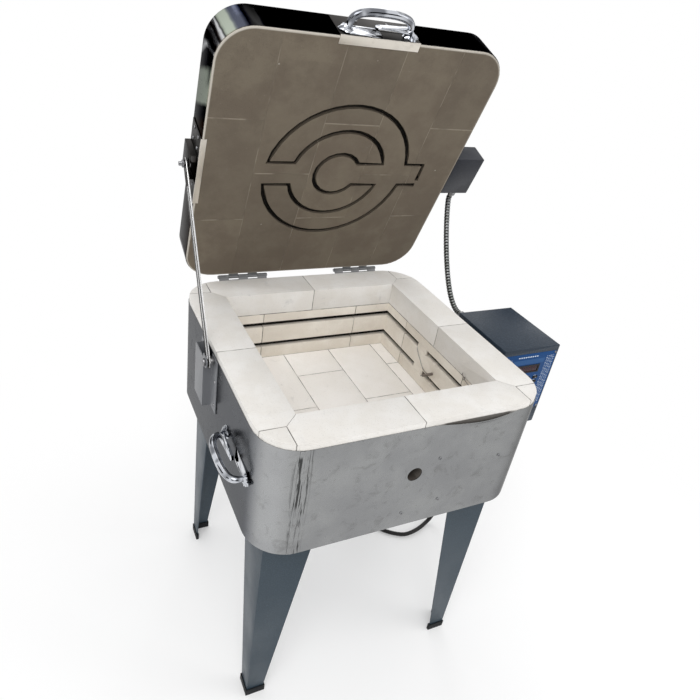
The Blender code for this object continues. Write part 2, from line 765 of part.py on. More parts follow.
def make_jacket(frame):
    outline = rounded_rectangle(BODY_WIDTH, BODY_WIDTH, BODY_CORNER_RADIUS)
    mesh = plate_mesh("body_jacket", outline, JACKET_TOP - BODY_BOTTOM, filled=False)
    transform_mesh(mesh, Matrix.Translation((0, 0, (JACKET_TOP + BODY_BOTTOM) / 2)))
    jacket = new_object("body_jacket", mesh, frame, "stainless")
    sheet = jacket.modifiers.new("sheet", 'SOLIDIFY')
    sheet.thickness = JACKET_THICKNESS
    sheet.offset = -1 if outward(mesh) else 1
    outside = HALF + CUT_OVERRUN
    inside = OPENING_HALF
    peep_z = RIM_HEIGHT - PEEPHOLE_DROP
    runs = [((PEEPHOLE_X, -outside, peep_z), (PEEPHOLE_X, -inside, peep_z))]
    cut(jacket, "jacket_peephole", cylinders_mesh("jacket_peephole", runs, PEEPHOLE_RADIUS))
    cut(jacket, "jacket_lead_window", prism_x("jacket_lead_window", lead_block_outline(FIT_GAP),
                                              inside, outside))
    smooth(jacket)

    pan_half = HALF - JACKET_THICKNESS - FIT_GAP
    pan = prism_z("base_pan", rounded_rectangle(2 * pan_half, 2 * pan_half, BRICK_RADIUS),
                  BODY_BOTTOM, BODY_BOTTOM + PAN_THICKNESS)
    new_object("base_pan", pan, frame, "zinc")


def outward(mesh):
    """True where an open wall's faces point away from the middle of its plan."""
    face = mesh.polygons[0]
    return face.normal.x * face.center.x + face.normal.y * face.center.y > 0


# Wall elements and what passes through the right wall


def rounded_path(points, radius, steps=3):
    """The path with each inner corner replaced by an arc-like bend of the given radius."""
    made = [Vector(points[0])]
    for before, corner, after in zip(points, points[1:], points[2:]):
        corner = Vector(corner)
        into = (Vector(before) - corner).normalized()
        out = (Vector(after) - corner).normalized()
        for step in range(steps + 1):
            share = step / steps
            made.append(corner + into * radius * (1 - share) ** 2 + out * radius * share ** 2)
    made.append(Vector(points[-1]))
    return made


def lead_block_outline(grow):
    """Outline (y, z) of the ceramic block that carries the leads through the jacket."""
    heights = [z for y, z in all_leads()]
    width = LEAD_SPACING + 2 * LEAD_BLOCK_MARGIN + 2 * grow
    height = max(heights) - min(heights) + 2 * LEAD_BLOCK_MARGIN + 2 * grow
    return rounded_rectangle(width, height, LEAD_BLOCK_CORNER_RADIUS, 3,
                             (0, (max(heights) + min(heights)) / 2))


def make_elements(frame):
    inset = ELEMENT_INSET
    tail = CONTROL_LEFT + CONTROL_SHEET + LEAD_TAIL
    for name, drop in (("element_upper", UPPER_GROOVE_DROP), ("element_lower", LOWER_GROOVE_DROP)):
        z = element_height(drop)
        near = -LEAD_SPACING / 2
        far = LEAD_SPACING / 2
        path = [(tail, near, z), (inset, near, z), (inset, -inset, z), (-inset, -inset, z),
                (-inset, inset, z), (inset, inset, z), (inset, far, z), (tail, far, z)]
        mesh = tube_mesh(name, rounded_path(path, COIL_BEND_RADIUS), COIL_RADIUS)
        smooth(new_object(name, mesh, frame, "element"))

    near = BRICK_HALF + FIT_GAP
    far = CONTROL_LEFT - FIT_GAP
    block = new_object("lead_block", prism_x("lead_block", lead_block_outline(0.0), near, far), frame,
                       "ceramic")
    cut(block, "lead_block_bores", holes_along_x("lead_block_bores", near - CUT_OVERRUN, far + CUT_OVERRUN,
                                                 LEAD_HOLE_RADIUS, THERMOCOUPLE_HOLE_RADIUS))

    y, z = thermocouple_place()
    tip = OPENING_HALF - THERMOCOUPLE_REACH
    mesh = cylinders_mesh("thermocouple", [((tip, y, z), (tail, y, z))], THERMOCOUPLE_RADIUS, SMALL_SIDES)
    smooth(new_object("thermocouple", mesh, frame, "ceramic"))


# Legs


def make_legs(frame):
    top = BODY_BOTTOM - FIT_GAP
    bottom = FOOT_SOLE + FIT_GAP
    corners = {"front_left": (-1, -1), "front_right": (1, -1), "back_left": (-1, 1), "back_right": (1, 1)}
    for place, (sx, sy) in corners.items():
        name = "leg_" + place
        fold_x = sx * LEG_X
        fold_y = sy * LEG_Y
        across = prism_y(name, [(fold_x, bottom), (fold_x - sx * LEG_FOOT_WIDTH, bottom),
                                (fold_x - sx * LEG_TOP_WIDTH, top), (fold_x, top)],
                         *sorted((fold_y, fold_y - sy * LEG_SHEET)))
        leg = new_object(name, across, frame, "hammered")
        union(leg, name + "_side", prism_x(
            name, [(fold_y, bottom), (fold_y - sy * LEG_FOOT_WIDTH, bottom),
                   (fold_y - sy * LEG_TOP_WIDTH, top), (fold_y, top)],
            *sorted((fold_x, fold_x - sx * LEG_SHEET))))
        # A turned-in flange under the pan takes the bolts
        reach = LEG_TOP_WIDTH
        flange = prism_z(name, [(fold_x - sx * LEG_SHEET / 2, fold_y - sy * LEG_SHEET / 2),
                                (fold_x - sx * LEG_SHEET / 2, fold_y - sy * reach),
                                (fold_x - sx * LEG_FLANGE, fold_y - sy * reach),
                                (fold_x - sx * LEG_FLANGE, fold_y - sy * LEG_FLANGE),
                                (fold_x - sx * reach, fold_y - sy * LEG_FLANGE),
                                (fold_x - sx * reach, fold_y - sy * LEG_SHEET / 2)],
                         top - LEG_SHEET, top)
        union(leg, name + "_flange", flange)

        foot_name = "foot_" + place
        grow = FOOT_WALL + FIT_GAP
        width = LEG_FOOT_WIDTH + widening(FOOT_HEIGHT) + grow
        outer = [(fold_x + sx * grow, fold_y + sy * grow), (fold_x + sx * grow, fold_y - sy * width),
                 (fold_x - sx * (LEG_SHEET + grow), fold_y - sy * width),
                 (fold_x - sx * (LEG_SHEET + grow), fold_y - sy * (LEG_SHEET + grow)),
                 (fold_x - sx * width, fold_y - sy * (LEG_SHEET + grow)),
                 (fold_x - sx * width, fold_y + sy * grow)]
        foot = new_object(foot_name, prism_z(foot_name, outer, 0, FOOT_HEIGHT), frame, "black")
        slack = FIT_GAP
        width = LEG_FOOT_WIDTH + widening(FOOT_HEIGHT) + slack
        pocket = [(fold_x + sx * slack, fold_y + sy * slack), (fold_x + sx * slack, fold_y - sy * width),
                  (fold_x - sx * (LEG_SHEET + slack), fold_y - sy * width),
                  (fold_x - sx * (LEG_SHEET + slack), fold_y - sy * (LEG_SHEET + slack)),
                  (fold_x - sx * width, fold_y - sy * (LEG_SHEET + slack)),
                  (fold_x - sx * width, fold_y + sy * slack)]
        cut(foot, foot_name + "_pocket", prism_z(foot_name, pocket, FOOT_SOLE, FOOT_HEIGHT + CUT_OVERRUN))


def widening(height):
    """How much wider a leg is at a height than at its foot."""
    return (LEG_TOP_WIDTH - LEG_FOOT_WIDTH) * height / (BODY_BOTTOM - FOOT_SOLE)


# Bow handles


def handle_meshes(name):
    """A bow handle lying along X that stands out along +Z from z = 0."""
    neck_top = HANDLE_FOOT_THICKNESS + HANDLE_NECK_HEIGHT
    half = HANDLE_SPACING / 2
    crest = HANDLE_REACH
    foot_sink = HANDLE_FOOT_THICKNESS / 2
    path = [(-half, 0, foot_sink), (-half, 0, crest), (half, 0, crest), (half, 0, foot_sink)]
    bow = tube_mesh(name, rounded_path(path, HANDLE_BEND_RADIUS, 6), HANDLE_TUBE_RADIUS, 3)
    parts = []
    for side in (-1, 1):
        outline = rounded_rectangle(HANDLE_FOOT_LENGTH, HANDLE_FOOT_WIDTH,
                                    HANDLE_FOOT_WIDTH * FOOT_ROUND_SHARE, 4)
        foot = plate_mesh(name, outline, HANDLE_FOOT_THICKNESS)
        transform_mesh(foot, Matrix.Translation((side * half, 0, HANDLE_FOOT_THICKNESS / 2)))
        flare = turned_mesh(name, [(0, neck_top), (HANDLE_TUBE_RADIUS * FLARE_TOP_SHARE, neck_top),
                                   (HANDLE_TUBE_RADIUS * FLARE_MIDDLE_SHARE, neck_top * FLARE_HEIGHT_SHARE),
                                   (HANDLE_FOOT_WIDTH * FLARE_FOOT_SHARE, HANDLE_FOOT_THICKNESS),
                                   (HANDLE_FOOT_WIDTH * FLARE_FOOT_SHARE, foot_sink), (0, foot_sink)])
        transform_mesh(flare, Matrix.Translation((side * half, 0, 0)))
        parts += [foot, flare]
    return bow, parts


def make_handle(name, placement, parent):
    bow, parts = handle_meshes(name)
    item = new_object(name, transform_mesh(bow, placement), parent, "chrome")
    for index, mesh in enumerate(parts):
        union(item, name + "_foot_" + str(index), transform_mesh(mesh, placement))
    return smooth(item)


def side_handle_placement():
    """Handle along Y on the left wall, standing out to -X."""
    turn = Matrix(((0, 0, -1, 0), (1, 0, 0, 0), (0, -1, 0, 0), (0, 0, 0, 1)))
    place = (-HALF - FIT_GAP, SIDE_HANDLE_Y, RIM_HEIGHT - SIDE_HANDLE_DROP)
    return Matrix.Translation(place) @ turn


# Hinges


def knuckle_spans(centre, odd):
    """X ranges of every second knuckle of one hinge."""
    pitch = HINGE_LENGTH / HINGE_KNUCKLES
    start = centre - HINGE_LENGTH / 2
    spans = []
    for index in range(HINGE_KNUCKLES):
        if index % 2 == (1 if odd else 0):
            spans.append((start + index * pitch, start + (index + 1) * pitch))
    return spans


def make_leaf(name, centre, side, odd, parent):
    """One leaf and its knuckles, in the hinge's own frame with the lid shut."""
    wall = (HALF if side < 0 else LID_HALF) - HINGE_Y + FIT_GAP + HINGE_SHEET / 2
    path = [(wall, side * (HINGE_LEAF_START + HINGE_LEAF_HEIGHT)), (wall, side * HINGE_LEAF_START),
            (-HINGE_KNUCKLE_RADIUS * KNUCKLE_LAP_SHARE, side * HINGE_KNUCKLE_RADIUS * KNUCKLE_RISE_SHARE)]
    low = centre - HINGE_LENGTH / 2
    high = centre + HINGE_LENGTH / 2
    item = new_object(name, prism_x(name, strip_outline(path, HINGE_SHEET), low, high), parent, "zinc")
    union(item, name + "_barrel", cylinders_mesh(name, [((low, 0, 0), (high, 0, 0))],
                                                 HINGE_KNUCKLE_RADIUS, SMALL_SIDES))
    cut(item, name + "_bore", cylinders_mesh(name, [((low - CUT_OVERRUN, 0, 0), (high + CUT_OVERRUN, 0, 0))],
                                             HINGE_BORE_RADIUS, SMALL_SIDES))
    notches = []
    room = HINGE_KNUCKLE_GAP / 2
    for near, far in knuckle_spans(centre, not odd):
        notches.append(((near - room, wall + HINGE_SHEET / 2 + FIT_GAP, -HINGE_LEAF_HEIGHT),
                        (far + room, HINGE_LEAF_HEIGHT, HINGE_LEAF_HEIGHT)))
    cut(item, name + "_notches", boxes_mesh(name, notches))
    return smooth(item)


# How far the bent end of a leaf laps onto its barrel
KNUCKLE_LAP_SHARE = 0.8
KNUCKLE_RISE_SHARE = 0.3


def make_hinges(frame, lid):
    axis = empty("hinge_axis", (0, HINGE_Y, HINGE_Z), frame)
    for place, side in (("left", -1), ("right", 1)):
        centre = side * HINGE_CENTRE_X
        make_leaf("hinge_leaf_body_" + place, centre, -1, False, axis)
        make_leaf("hinge_leaf_lid_" + place, centre, 1, True, lid)
        end = HINGE_LENGTH / 2 + FIT_GAP
        head = end + HINGE_PIN_HEAD_LENGTH
        profile = [(0, head), (HINGE_PIN_HEAD, head), (HINGE_PIN_HEAD, end), (HINGE_PIN_RADIUS, end),
                   (HINGE_PIN_RADIUS, -end), (HINGE_PIN_HEAD, -end), (HINGE_PIN_HEAD, -head), (0, -head)]
        name = "hinge_pin_" + place
        mesh = transform_mesh(turned_mesh(name, profile, SMALL_SIDES), aim((centre, 0, 0), (1, 0, 0)))
        smooth(new_object(name, mesh, axis, "zinc"))


# Lid


def lid_lead_span(side):
    """How far from the lid's back edge each of the two leads goes into the brick."""
    low = LID_HALF - LID_ARC_GAP / 2
    return low + LID_LEAD_SPACING if side > 0 else low


def lid_element_path():
    """Route of the lid element in (x, span), from one lead round to the other."""
    centre = (LID_ARC_CENTRE_X, LID_HALF)
    half_gap = LID_ARC_GAP / 2

    def arc(radius, start_side, end_side, upper, steps):
        # Arc from one side to the other over the top or under the bottom of the gap
        lean = math.asin(half_gap / radius)
        sign = 1 if upper else -1
        first = lean if start_side > 0 else math.pi - lean
        last = lean if end_side > 0 else math.pi - lean
        made = []
        for step in range(steps + 1):
            angle = sign * (first + (last - first) * step / steps)
            made.append((centre[0] + radius * math.cos(angle), centre[1] + radius * math.sin(angle)))
        return made

    def open_arc(radius, steps):
        # The inner arc is open on its right side only
        lean = math.asin(half_gap / radius)
        made = []
        for step in range(steps + 1):
            angle = lean + (2 * math.pi - 2 * lean) * step / steps
            made.append((centre[0] + radius * math.cos(angle), centre[1] + radius * math.sin(angle)))
        return made

    # The upper run turns down at its end, to leave beside the lower one
    path = [(LID_LEAD_X, lid_lead_span(1)), (LID_LEAD_X, centre[1] + half_gap)]
    path += arc(LID_ARC_OUTER_RADIUS, 1, -1, True, 18)
    path += arc(LID_ARC_MIDDLE_RADIUS, -1, 1, True, 14)
    path += open_arc(LID_ARC_INNER_RADIUS, 16)
    path += arc(LID_ARC_MIDDLE_RADIUS, 1, -1, False, 14)
    path += arc(LID_ARC_OUTER_RADIUS, -1, 1, False, 18)
    path.append((LID_LEAD_X, lid_lead_span(-1)))
    return path


def lid_local(x, span, depth):
    """A lid point in the hinge's frame with the lid shut."""
    return Vector((x, LID_BACK_Y - span, LID_FACE + depth))


def make_lid(lid):
    middle_y = LID_BACK_Y - LID_HALF
    # The shell is an open pan: a round-cornered block less its face, given a sheet's thickness
    outline = rounded_rectangle(LID_WIDTH, LID_WIDTH, LID_CORNER_RADIUS, centre=(0, middle_y))
    mesh = prism_z("lid_shell", outline, SHELL_FACE, SHELL_FACE + LID_DEPTH)
    bm = bmesh.new()
    bm.from_mesh(mesh)
    top_edges = [edge for edge in bm.edges
                 if all(vert.co.z > SHELL_FACE + LID_DEPTH / 2 for vert in edge.verts)
                 and len({face.normal.z > 0.5 for face in edge.link_faces}) == 2]
    bmesh.ops.bevel(bm, geom=top_edges, offset=LID_BACK_EDGE_RADIUS, segments=2, affect='EDGES',
                    profile=0.5, material=-1)
    open_faces = [face for face in bm.faces if face.normal.z < -0.5]
    bmesh.ops.delete(bm, geom=open_faces, context='FACES')
    bm.to_mesh(mesh)
    bm.free()
    shell = new_object("lid_shell", mesh, lid, "mirror_steel")
    sheet = shell.modifiers.new("sheet", 'SOLIDIFY')
    sheet.thickness = LID_SHELL_THICKNESS
    sheet.offset = -1
    sheet.use_even_offset = True
    leads = [(lid_lead_point(LID_HALF - CUT_OVERRUN, side), lid_lead_point(LID_HALF + CUT_OVERRUN, side))
             for side in (-1, 1)]
    cut(shell, "shell_leads", cylinders_mesh("shell_leads", leads, LID_COIL_RADIUS + LID_LEAD_CLEARANCE,
                                             SMALL_SIDES))
    smooth(shell)

    inset = LID_SHELL_THICKNESS + FIT_GAP
    outline = rounded_rectangle(LID_WIDTH - 2 * inset, LID_WIDTH - 2 * inset, LID_CORNER_RADIUS - inset,
                                centre=(0, middle_y))
    mesh = prism_z("lid_bricks", outline, LID_FACE, SHELL_FACE + LID_DEPTH - inset)
    bm = bmesh.new()
    bm.from_mesh(mesh)
    back_edges = [edge for edge in bm.edges
                  if all(vert.co.z > SHELL_FACE + LID_DEPTH / 2 for vert in edge.verts)
                  and len({face.normal.z > 0.5 for face in edge.link_faces}) == 2]
    bmesh.ops.bevel(bm, geom=back_edges, offset=LID_BACK_EDGE_RADIUS, segments=1, affect='EDGES',
                    profile=0.5, material=-1)
    bm.to_mesh(mesh)
    bm.free()
    bricks = new_object("lid_bricks", mesh, lid, "lid_brick")
    sheet = LID_BRACKET_SHEET + FIT_GAP
    front = LID_BACK_Y - LID_WIDTH
    half = FRONT_BRACKET_LENGTH / 2 + FIT_GAP
    cut(bricks, "front_rebate", boxes_mesh("front_rebate", [
        ((-half, front - CUT_OVERRUN, LID_FACE - CUT_OVERRUN),
         (half, front + FRONT_BRACKET_LIP + FIT_GAP, LID_FACE + sheet))]))
    half = LID_BRACKET_LENGTH / 2 + FIT_GAP
    cut(bricks, "arm_rebate", boxes_mesh("arm_rebate", [
        ((-LID_HALF - CUT_OVERRUN, middle_y - half, LID_FACE - CUT_OVERRUN),
         (-LID_HALF + LID_BRACKET_LIP + FIT_GAP, middle_y + half, LID_FACE + sheet))]))

    route = lid_element_path()
    trench = [lid_local(x, span, LID_GROOVE_SINK) for x, span in route]
    # The groove's upper end runs on past the lead's bend, to clear it
    trench[0] += (trench[0] - trench[1]).normalized() * (LID_COIL_RADIUS + LID_LEAD_CLEARANCE)
    cut(bricks, "lid_groove", tube_mesh("lid_groove", trench, LID_GROOVE_RADIUS, 2))
    for side, name in ((-1, "lid_lead_bore_low"), (1, "lid_lead_bore_high")):
        run = lid_lead_run(side, LID_HALF + CUT_OVERRUN)
        if side < 0:
            # This bore starts inside the groove, so that the lead's bend is clear of the brick
            run[0] = run[0] + (run[0] - run[1]).normalized() * LID_GROOVE_RADIUS
        cut(bricks, name, tube_mesh(name, run, LID_COIL_RADIUS + LID_LEAD_CLEARANCE, 2))
    tail = LID_HALF + LID_LEAD_TAIL
    coil = lid_lead_run(1, tail)[::-1] + [lid_local(x, span, LID_COIL_DEPTH) for x, span in route[1:-1]]
    coil += lid_lead_run(-1, tail)
    smooth(new_object("lid_element", tube_mesh("lid_element", coil, LID_COIL_RADIUS, 2), lid, "element"))


def lid_lead_point(x, side):
    """A point on one of the two leads, where they run level inside the lid."""
    return lid_local(x, lid_lead_span(side), LID_COIL_DEPTH + LID_COIL_DIVE)


def lid_lead_run(side, end):
    """From the groove's end the lead dives into the brick and runs out through the lid's right side."""
    start = lid_local(LID_LEAD_X, lid_lead_span(side), LID_COIL_DEPTH)
    return [start, lid_lead_point(LID_LEAD_X + LID_COIL_DIVE_RUN, side), lid_lead_point(end, side)]


def make_front_bracket(lid):
    """Angle over the lid's front edge that carries the handle; its lip lies in the brick's rebate."""
    front = LID_BACK_Y - LID_WIDTH
    sheet = LID_BRACKET_SHEET
    plane = front - FIT_GAP - sheet / 2
    lip_z = LID_FACE + sheet / 2
    path = [(front + FRONT_BRACKET_LIP, lip_z), (plane, lip_z), (plane, lip_z + FRONT_BRACKET_WEB)]
    mesh = prism_x("lid_front_bracket", strip_outline(path, sheet), -FRONT_BRACKET_LENGTH / 2,
                   FRONT_BRACKET_LENGTH / 2)
    new_object("lid_front_bracket", mesh, lid, "stainless")
    return plane - sheet / 2


def make_lid_arm_bracket(lid):
    """Hat-shaped bracket on the lid's left side, with a lip in a rebate of the brick."""
    sheet = LID_BRACKET_SHEET
    side = -LID_HALF - FIT_GAP - sheet / 2
    crest = side - LID_BRACKET_STAND_OFF
    middle = LID_BACK_Y - LID_HALF
    half = LID_BRACKET_LENGTH / 2
    hat = LID_BRACKET_HAT / 2
    path = [(side, middle - half), (side, middle - hat), (crest, middle - hat), (crest, middle + hat),
            (side, middle + hat), (side, middle + half)]
    low = LID_FACE
    high = LID_FACE + LID_THICKNESS - LID_BRACKET_EDGE_MARGIN
    item = new_object("lid_arm_bracket", prism_z("lid_arm_bracket", strip_outline(path, sheet), low, high),
                      lid, "stainless")
    # The hat starts above the lip, which joins both flanges along the brick's edge
    cut(item, "hat_end", boxes_mesh("hat_end", [
        ((crest - sheet, middle - hat - sheet, low - CUT_OVERRUN),
         (side + sheet, middle + hat + sheet, low + LID_BRACKET_HAT_START))]))
    union(item, "arm_bracket_lip", boxes_mesh("arm_bracket_lip", [
        ((side - sheet / 2, middle - half, low), (-LID_HALF + LID_BRACKET_LIP, middle + half, low + sheet))]))
    bore = [((crest - sheet, middle, ARM_PIVOT_Z), (crest + sheet, middle, ARM_PIVOT_Z))]
    cut(item, "arm_bracket_bore", cylinders_mesh("arm_bracket_bore", bore, ARM_PIN_RADIUS + FIT_GAP,
                                                 SMALL_SIDES))
    return crest


# Support arm


def make_arm(frame, lid):
    """Slotted arm: it hangs from the lid's bracket and slides over the pin on the body."""
    crest = make_lid_arm_bracket(lid)
    pivot = empty("arm_pivot", (ARM_X, LID_BACK_Y - LID_HALF, ARM_PIVOT_Z), lid)
    # With the lid shut the arm hangs straight down; with it open it has turned by half as much
    pivot.rotation_euler = (LID_ANGLE / 2, 0, 0)
    half = ARM_WIDTH / 2
    reach = ARM_SPAN_OPEN + ARM_PIN_RADIUS + ARM_SLOT_CLEARANCE + ARM_END_MARGIN
    outline = [(half * math.cos(angle), half * math.sin(angle))
               for angle in [math.pi * step / ARC_STEPS for step in range(ARC_STEPS + 1)]]
    outline += [(-half * math.cos(angle), -(reach - half) - half * math.sin(angle))
                for angle in [math.pi * step / ARC_STEPS for step in range(ARC_STEPS + 1)]]
    item = new_object("support_arm", prism_x("support_arm", outline, -ARM_SHEET / 2, ARM_SHEET / 2),
                      pivot, "mirror_steel")
    room = ARM_PIN_RADIUS + ARM_SLOT_CLEARANCE
    slot = []
    for end, centre in ((1, -ARM_SPAN_CLOSED), (-1, -ARM_SPAN_OPEN)):
        for step in range(ARC_STEPS + 1):
            angle = math.pi * step / ARC_STEPS
            slot.append((end * room * math.cos(angle), centre + end * room * math.sin(angle)))
    cut(item, "arm_slot", prism_x("arm_slot", slot, -ARM_SHEET, ARM_SHEET))
    bore = [((-ARM_SHEET, 0, 0), (ARM_SHEET, 0, 0))]
    cut(item, "arm_bore", cylinders_mesh("arm_bore", bore, ARM_PIN_RADIUS + FIT_GAP, SMALL_SIDES))

    # Pivot bolt: head inside the hat, collar between hat and arm, nut and tail outboard
    inner = crest + LID_BRACKET_SHEET / 2 + FIT_GAP
    hat_outer = crest - LID_BRACKET_SHEET / 2 - FIT_GAP
    arm_inner = ARM_X + ARM_SHEET / 2 + FIT_GAP
    arm_outer = ARM_X - ARM_SHEET / 2 - FIT_GAP
    head_end = inner + ARM_HEAD_LENGTH
    nut_end = arm_outer - ARM_HEAD_LENGTH
    tail = nut_end - ARM_BOLT_TAIL
    profile = [(0, head_end), (ARM_HEAD_RADIUS, head_end), (ARM_HEAD_RADIUS, inner),
               (ARM_PIN_RADIUS, inner), (ARM_PIN_RADIUS, hat_outer), (ARM_COLLAR_RADIUS, hat_outer),
               (ARM_COLLAR_RADIUS, arm_inner), (ARM_PIN_RADIUS, arm_inner), (ARM_PIN_RADIUS, arm_outer),
               (ARM_HEAD_RADIUS, arm_outer), (ARM_HEAD_RADIUS, nut_end), (ARM_PIN_RADIUS, nut_end),
               (ARM_PIN_RADIUS, tail), (0, tail)]
    bolt = turned_mesh("arm_pivot_bolt", profile, SMALL_SIDES)
    transform_mesh(bolt, Matrix.Translation((0, LID_BACK_Y - LID_HALF, ARM_PIVOT_Z))
                   @ aim((0, 0, 0), (1, 0, 0)))
    smooth(new_object("arm_pivot_bolt", bolt, lid, "zinc"))

    # Guide bracket: flanged channel behind the pin, its outer plate reaching forward as an ear
    sheet = BRACKET_SHEET
    wall_x = -HALF - FIT_GAP - sheet / 2
    outer_x = arm_outer - GUIDE_OUTBOARD - sheet / 2
    back_y = GUIDE_FRONT_Y + GUIDE_DEPTH
    path = [(wall_x, -GUIDE_FLANGE), (wall_x, GUIDE_FRONT_Y), (outer_x, GUIDE_FRONT_Y),
            (outer_x, back_y), (wall_x, back_y), (wall_x, back_y + GUIDE_FLANGE)]
    top = RIM_HEIGHT - GUIDE_TOP_DROP
    item = new_object("arm_guide_bracket", prism_z("arm_guide_bracket", strip_outline(path, sheet),
                                                   top - GUIDE_HEIGHT, top), frame, "stainless")
    # The front wall stops below the pin, and a round ear of the outer plate carries the pin's end
    window_low = ARM_PIN_Z - GUIDE_EAR_RADIUS - sheet
    cut(item, "guide_window", boxes_mesh("guide_window", [
        ((outer_x + sheet, GUIDE_FRONT_Y - sheet, window_low),
         (wall_x - sheet, GUIDE_FRONT_Y + sheet, top + CUT_OVERRUN))]))
    ear = [(GUIDE_FRONT_Y + sheet / 2, ARM_PIN_Z + GUIDE_EAR_RADIUS)]
    for step in range(2 * ARC_STEPS + 1):
        angle = math.pi * step / (2 * ARC_STEPS)
        ear.append((-GUIDE_EAR_RADIUS * math.sin(angle), ARM_PIN_Z + GUIDE_EAR_RADIUS * math.cos(angle)))
    ear.append((GUIDE_FRONT_Y + sheet / 2, ARM_PIN_Z - GUIDE_EAR_RADIUS))
    union(item, "guide_ear", prism_x("guide_ear", ear, outer_x - sheet / 2, outer_x + sheet / 2))
    union(item, "guide_root", boxes_mesh("guide_root", [
        ((wall_x - sheet / 2, -GUIDE_FLANGE, window_low),
         (wall_x + sheet / 2, GUIDE_FRONT_Y + sheet / 2, JACKET_TOP - FIT_GAP))]))
    bore = [((outer_x - sheet, 0, ARM_PIN_Z), (outer_x + sheet, 0, ARM_PIN_Z))]
    cut(item, "guide_bore", cylinders_mesh("guide_bore", bore, ARM_PIN_RADIUS + FIT_GAP, SMALL_SIDES))

    plate_outer = outer_x - sheet / 2 - FIT_GAP
    plate_inner = outer_x + sheet / 2 + FIT_GAP
    root = wall_x - sheet / 2 - FIT_GAP
    profile = [(0, root), (ARM_COLLAR_RADIUS, root), (ARM_COLLAR_RADIUS, arm_inner),
               (ARM_PIN_RADIUS, arm_inner), (ARM_PIN_RADIUS, arm_outer), (ARM_COLLAR_RADIUS, arm_outer),
               (ARM_COLLAR_RADIUS, plate_inner), (ARM_PIN_RADIUS, plate_inner),
               (ARM_PIN_RADIUS, plate_outer), (ARM_HEAD_RADIUS, plate_outer),
               (ARM_HEAD_RADIUS, plate_outer - ARM_HEAD_LENGTH), (0, plate_outer - ARM_HEAD_LENGTH)]
    pin = turned_mesh("arm_guide_pin", profile, SMALL_SIDES)
    transform_mesh(pin, Matrix.Translation((0, 0, ARM_PIN_Z)) @ aim((0, 0, 0), (1, 0, 0)))
    smooth(new_object("arm_guide_pin", pin, frame, "zinc"))


# Control box


def key_places():
    """Middle (x, z) of each key, row by row."""
    top = CONTROL_TOP - PANEL_TOP_DROP
    places = []
    for row in range(KEY_ROWS):
        for column in range(KEY_COLUMNS):
            x = CONTROL_MIDDLE_X + (column - (KEY_COLUMNS - 1) / 2) * KEY_COLUMN_PITCH
            places.append((x, top - KEY_TOP_DROP - row * KEY_ROW_PITCH))
    return places


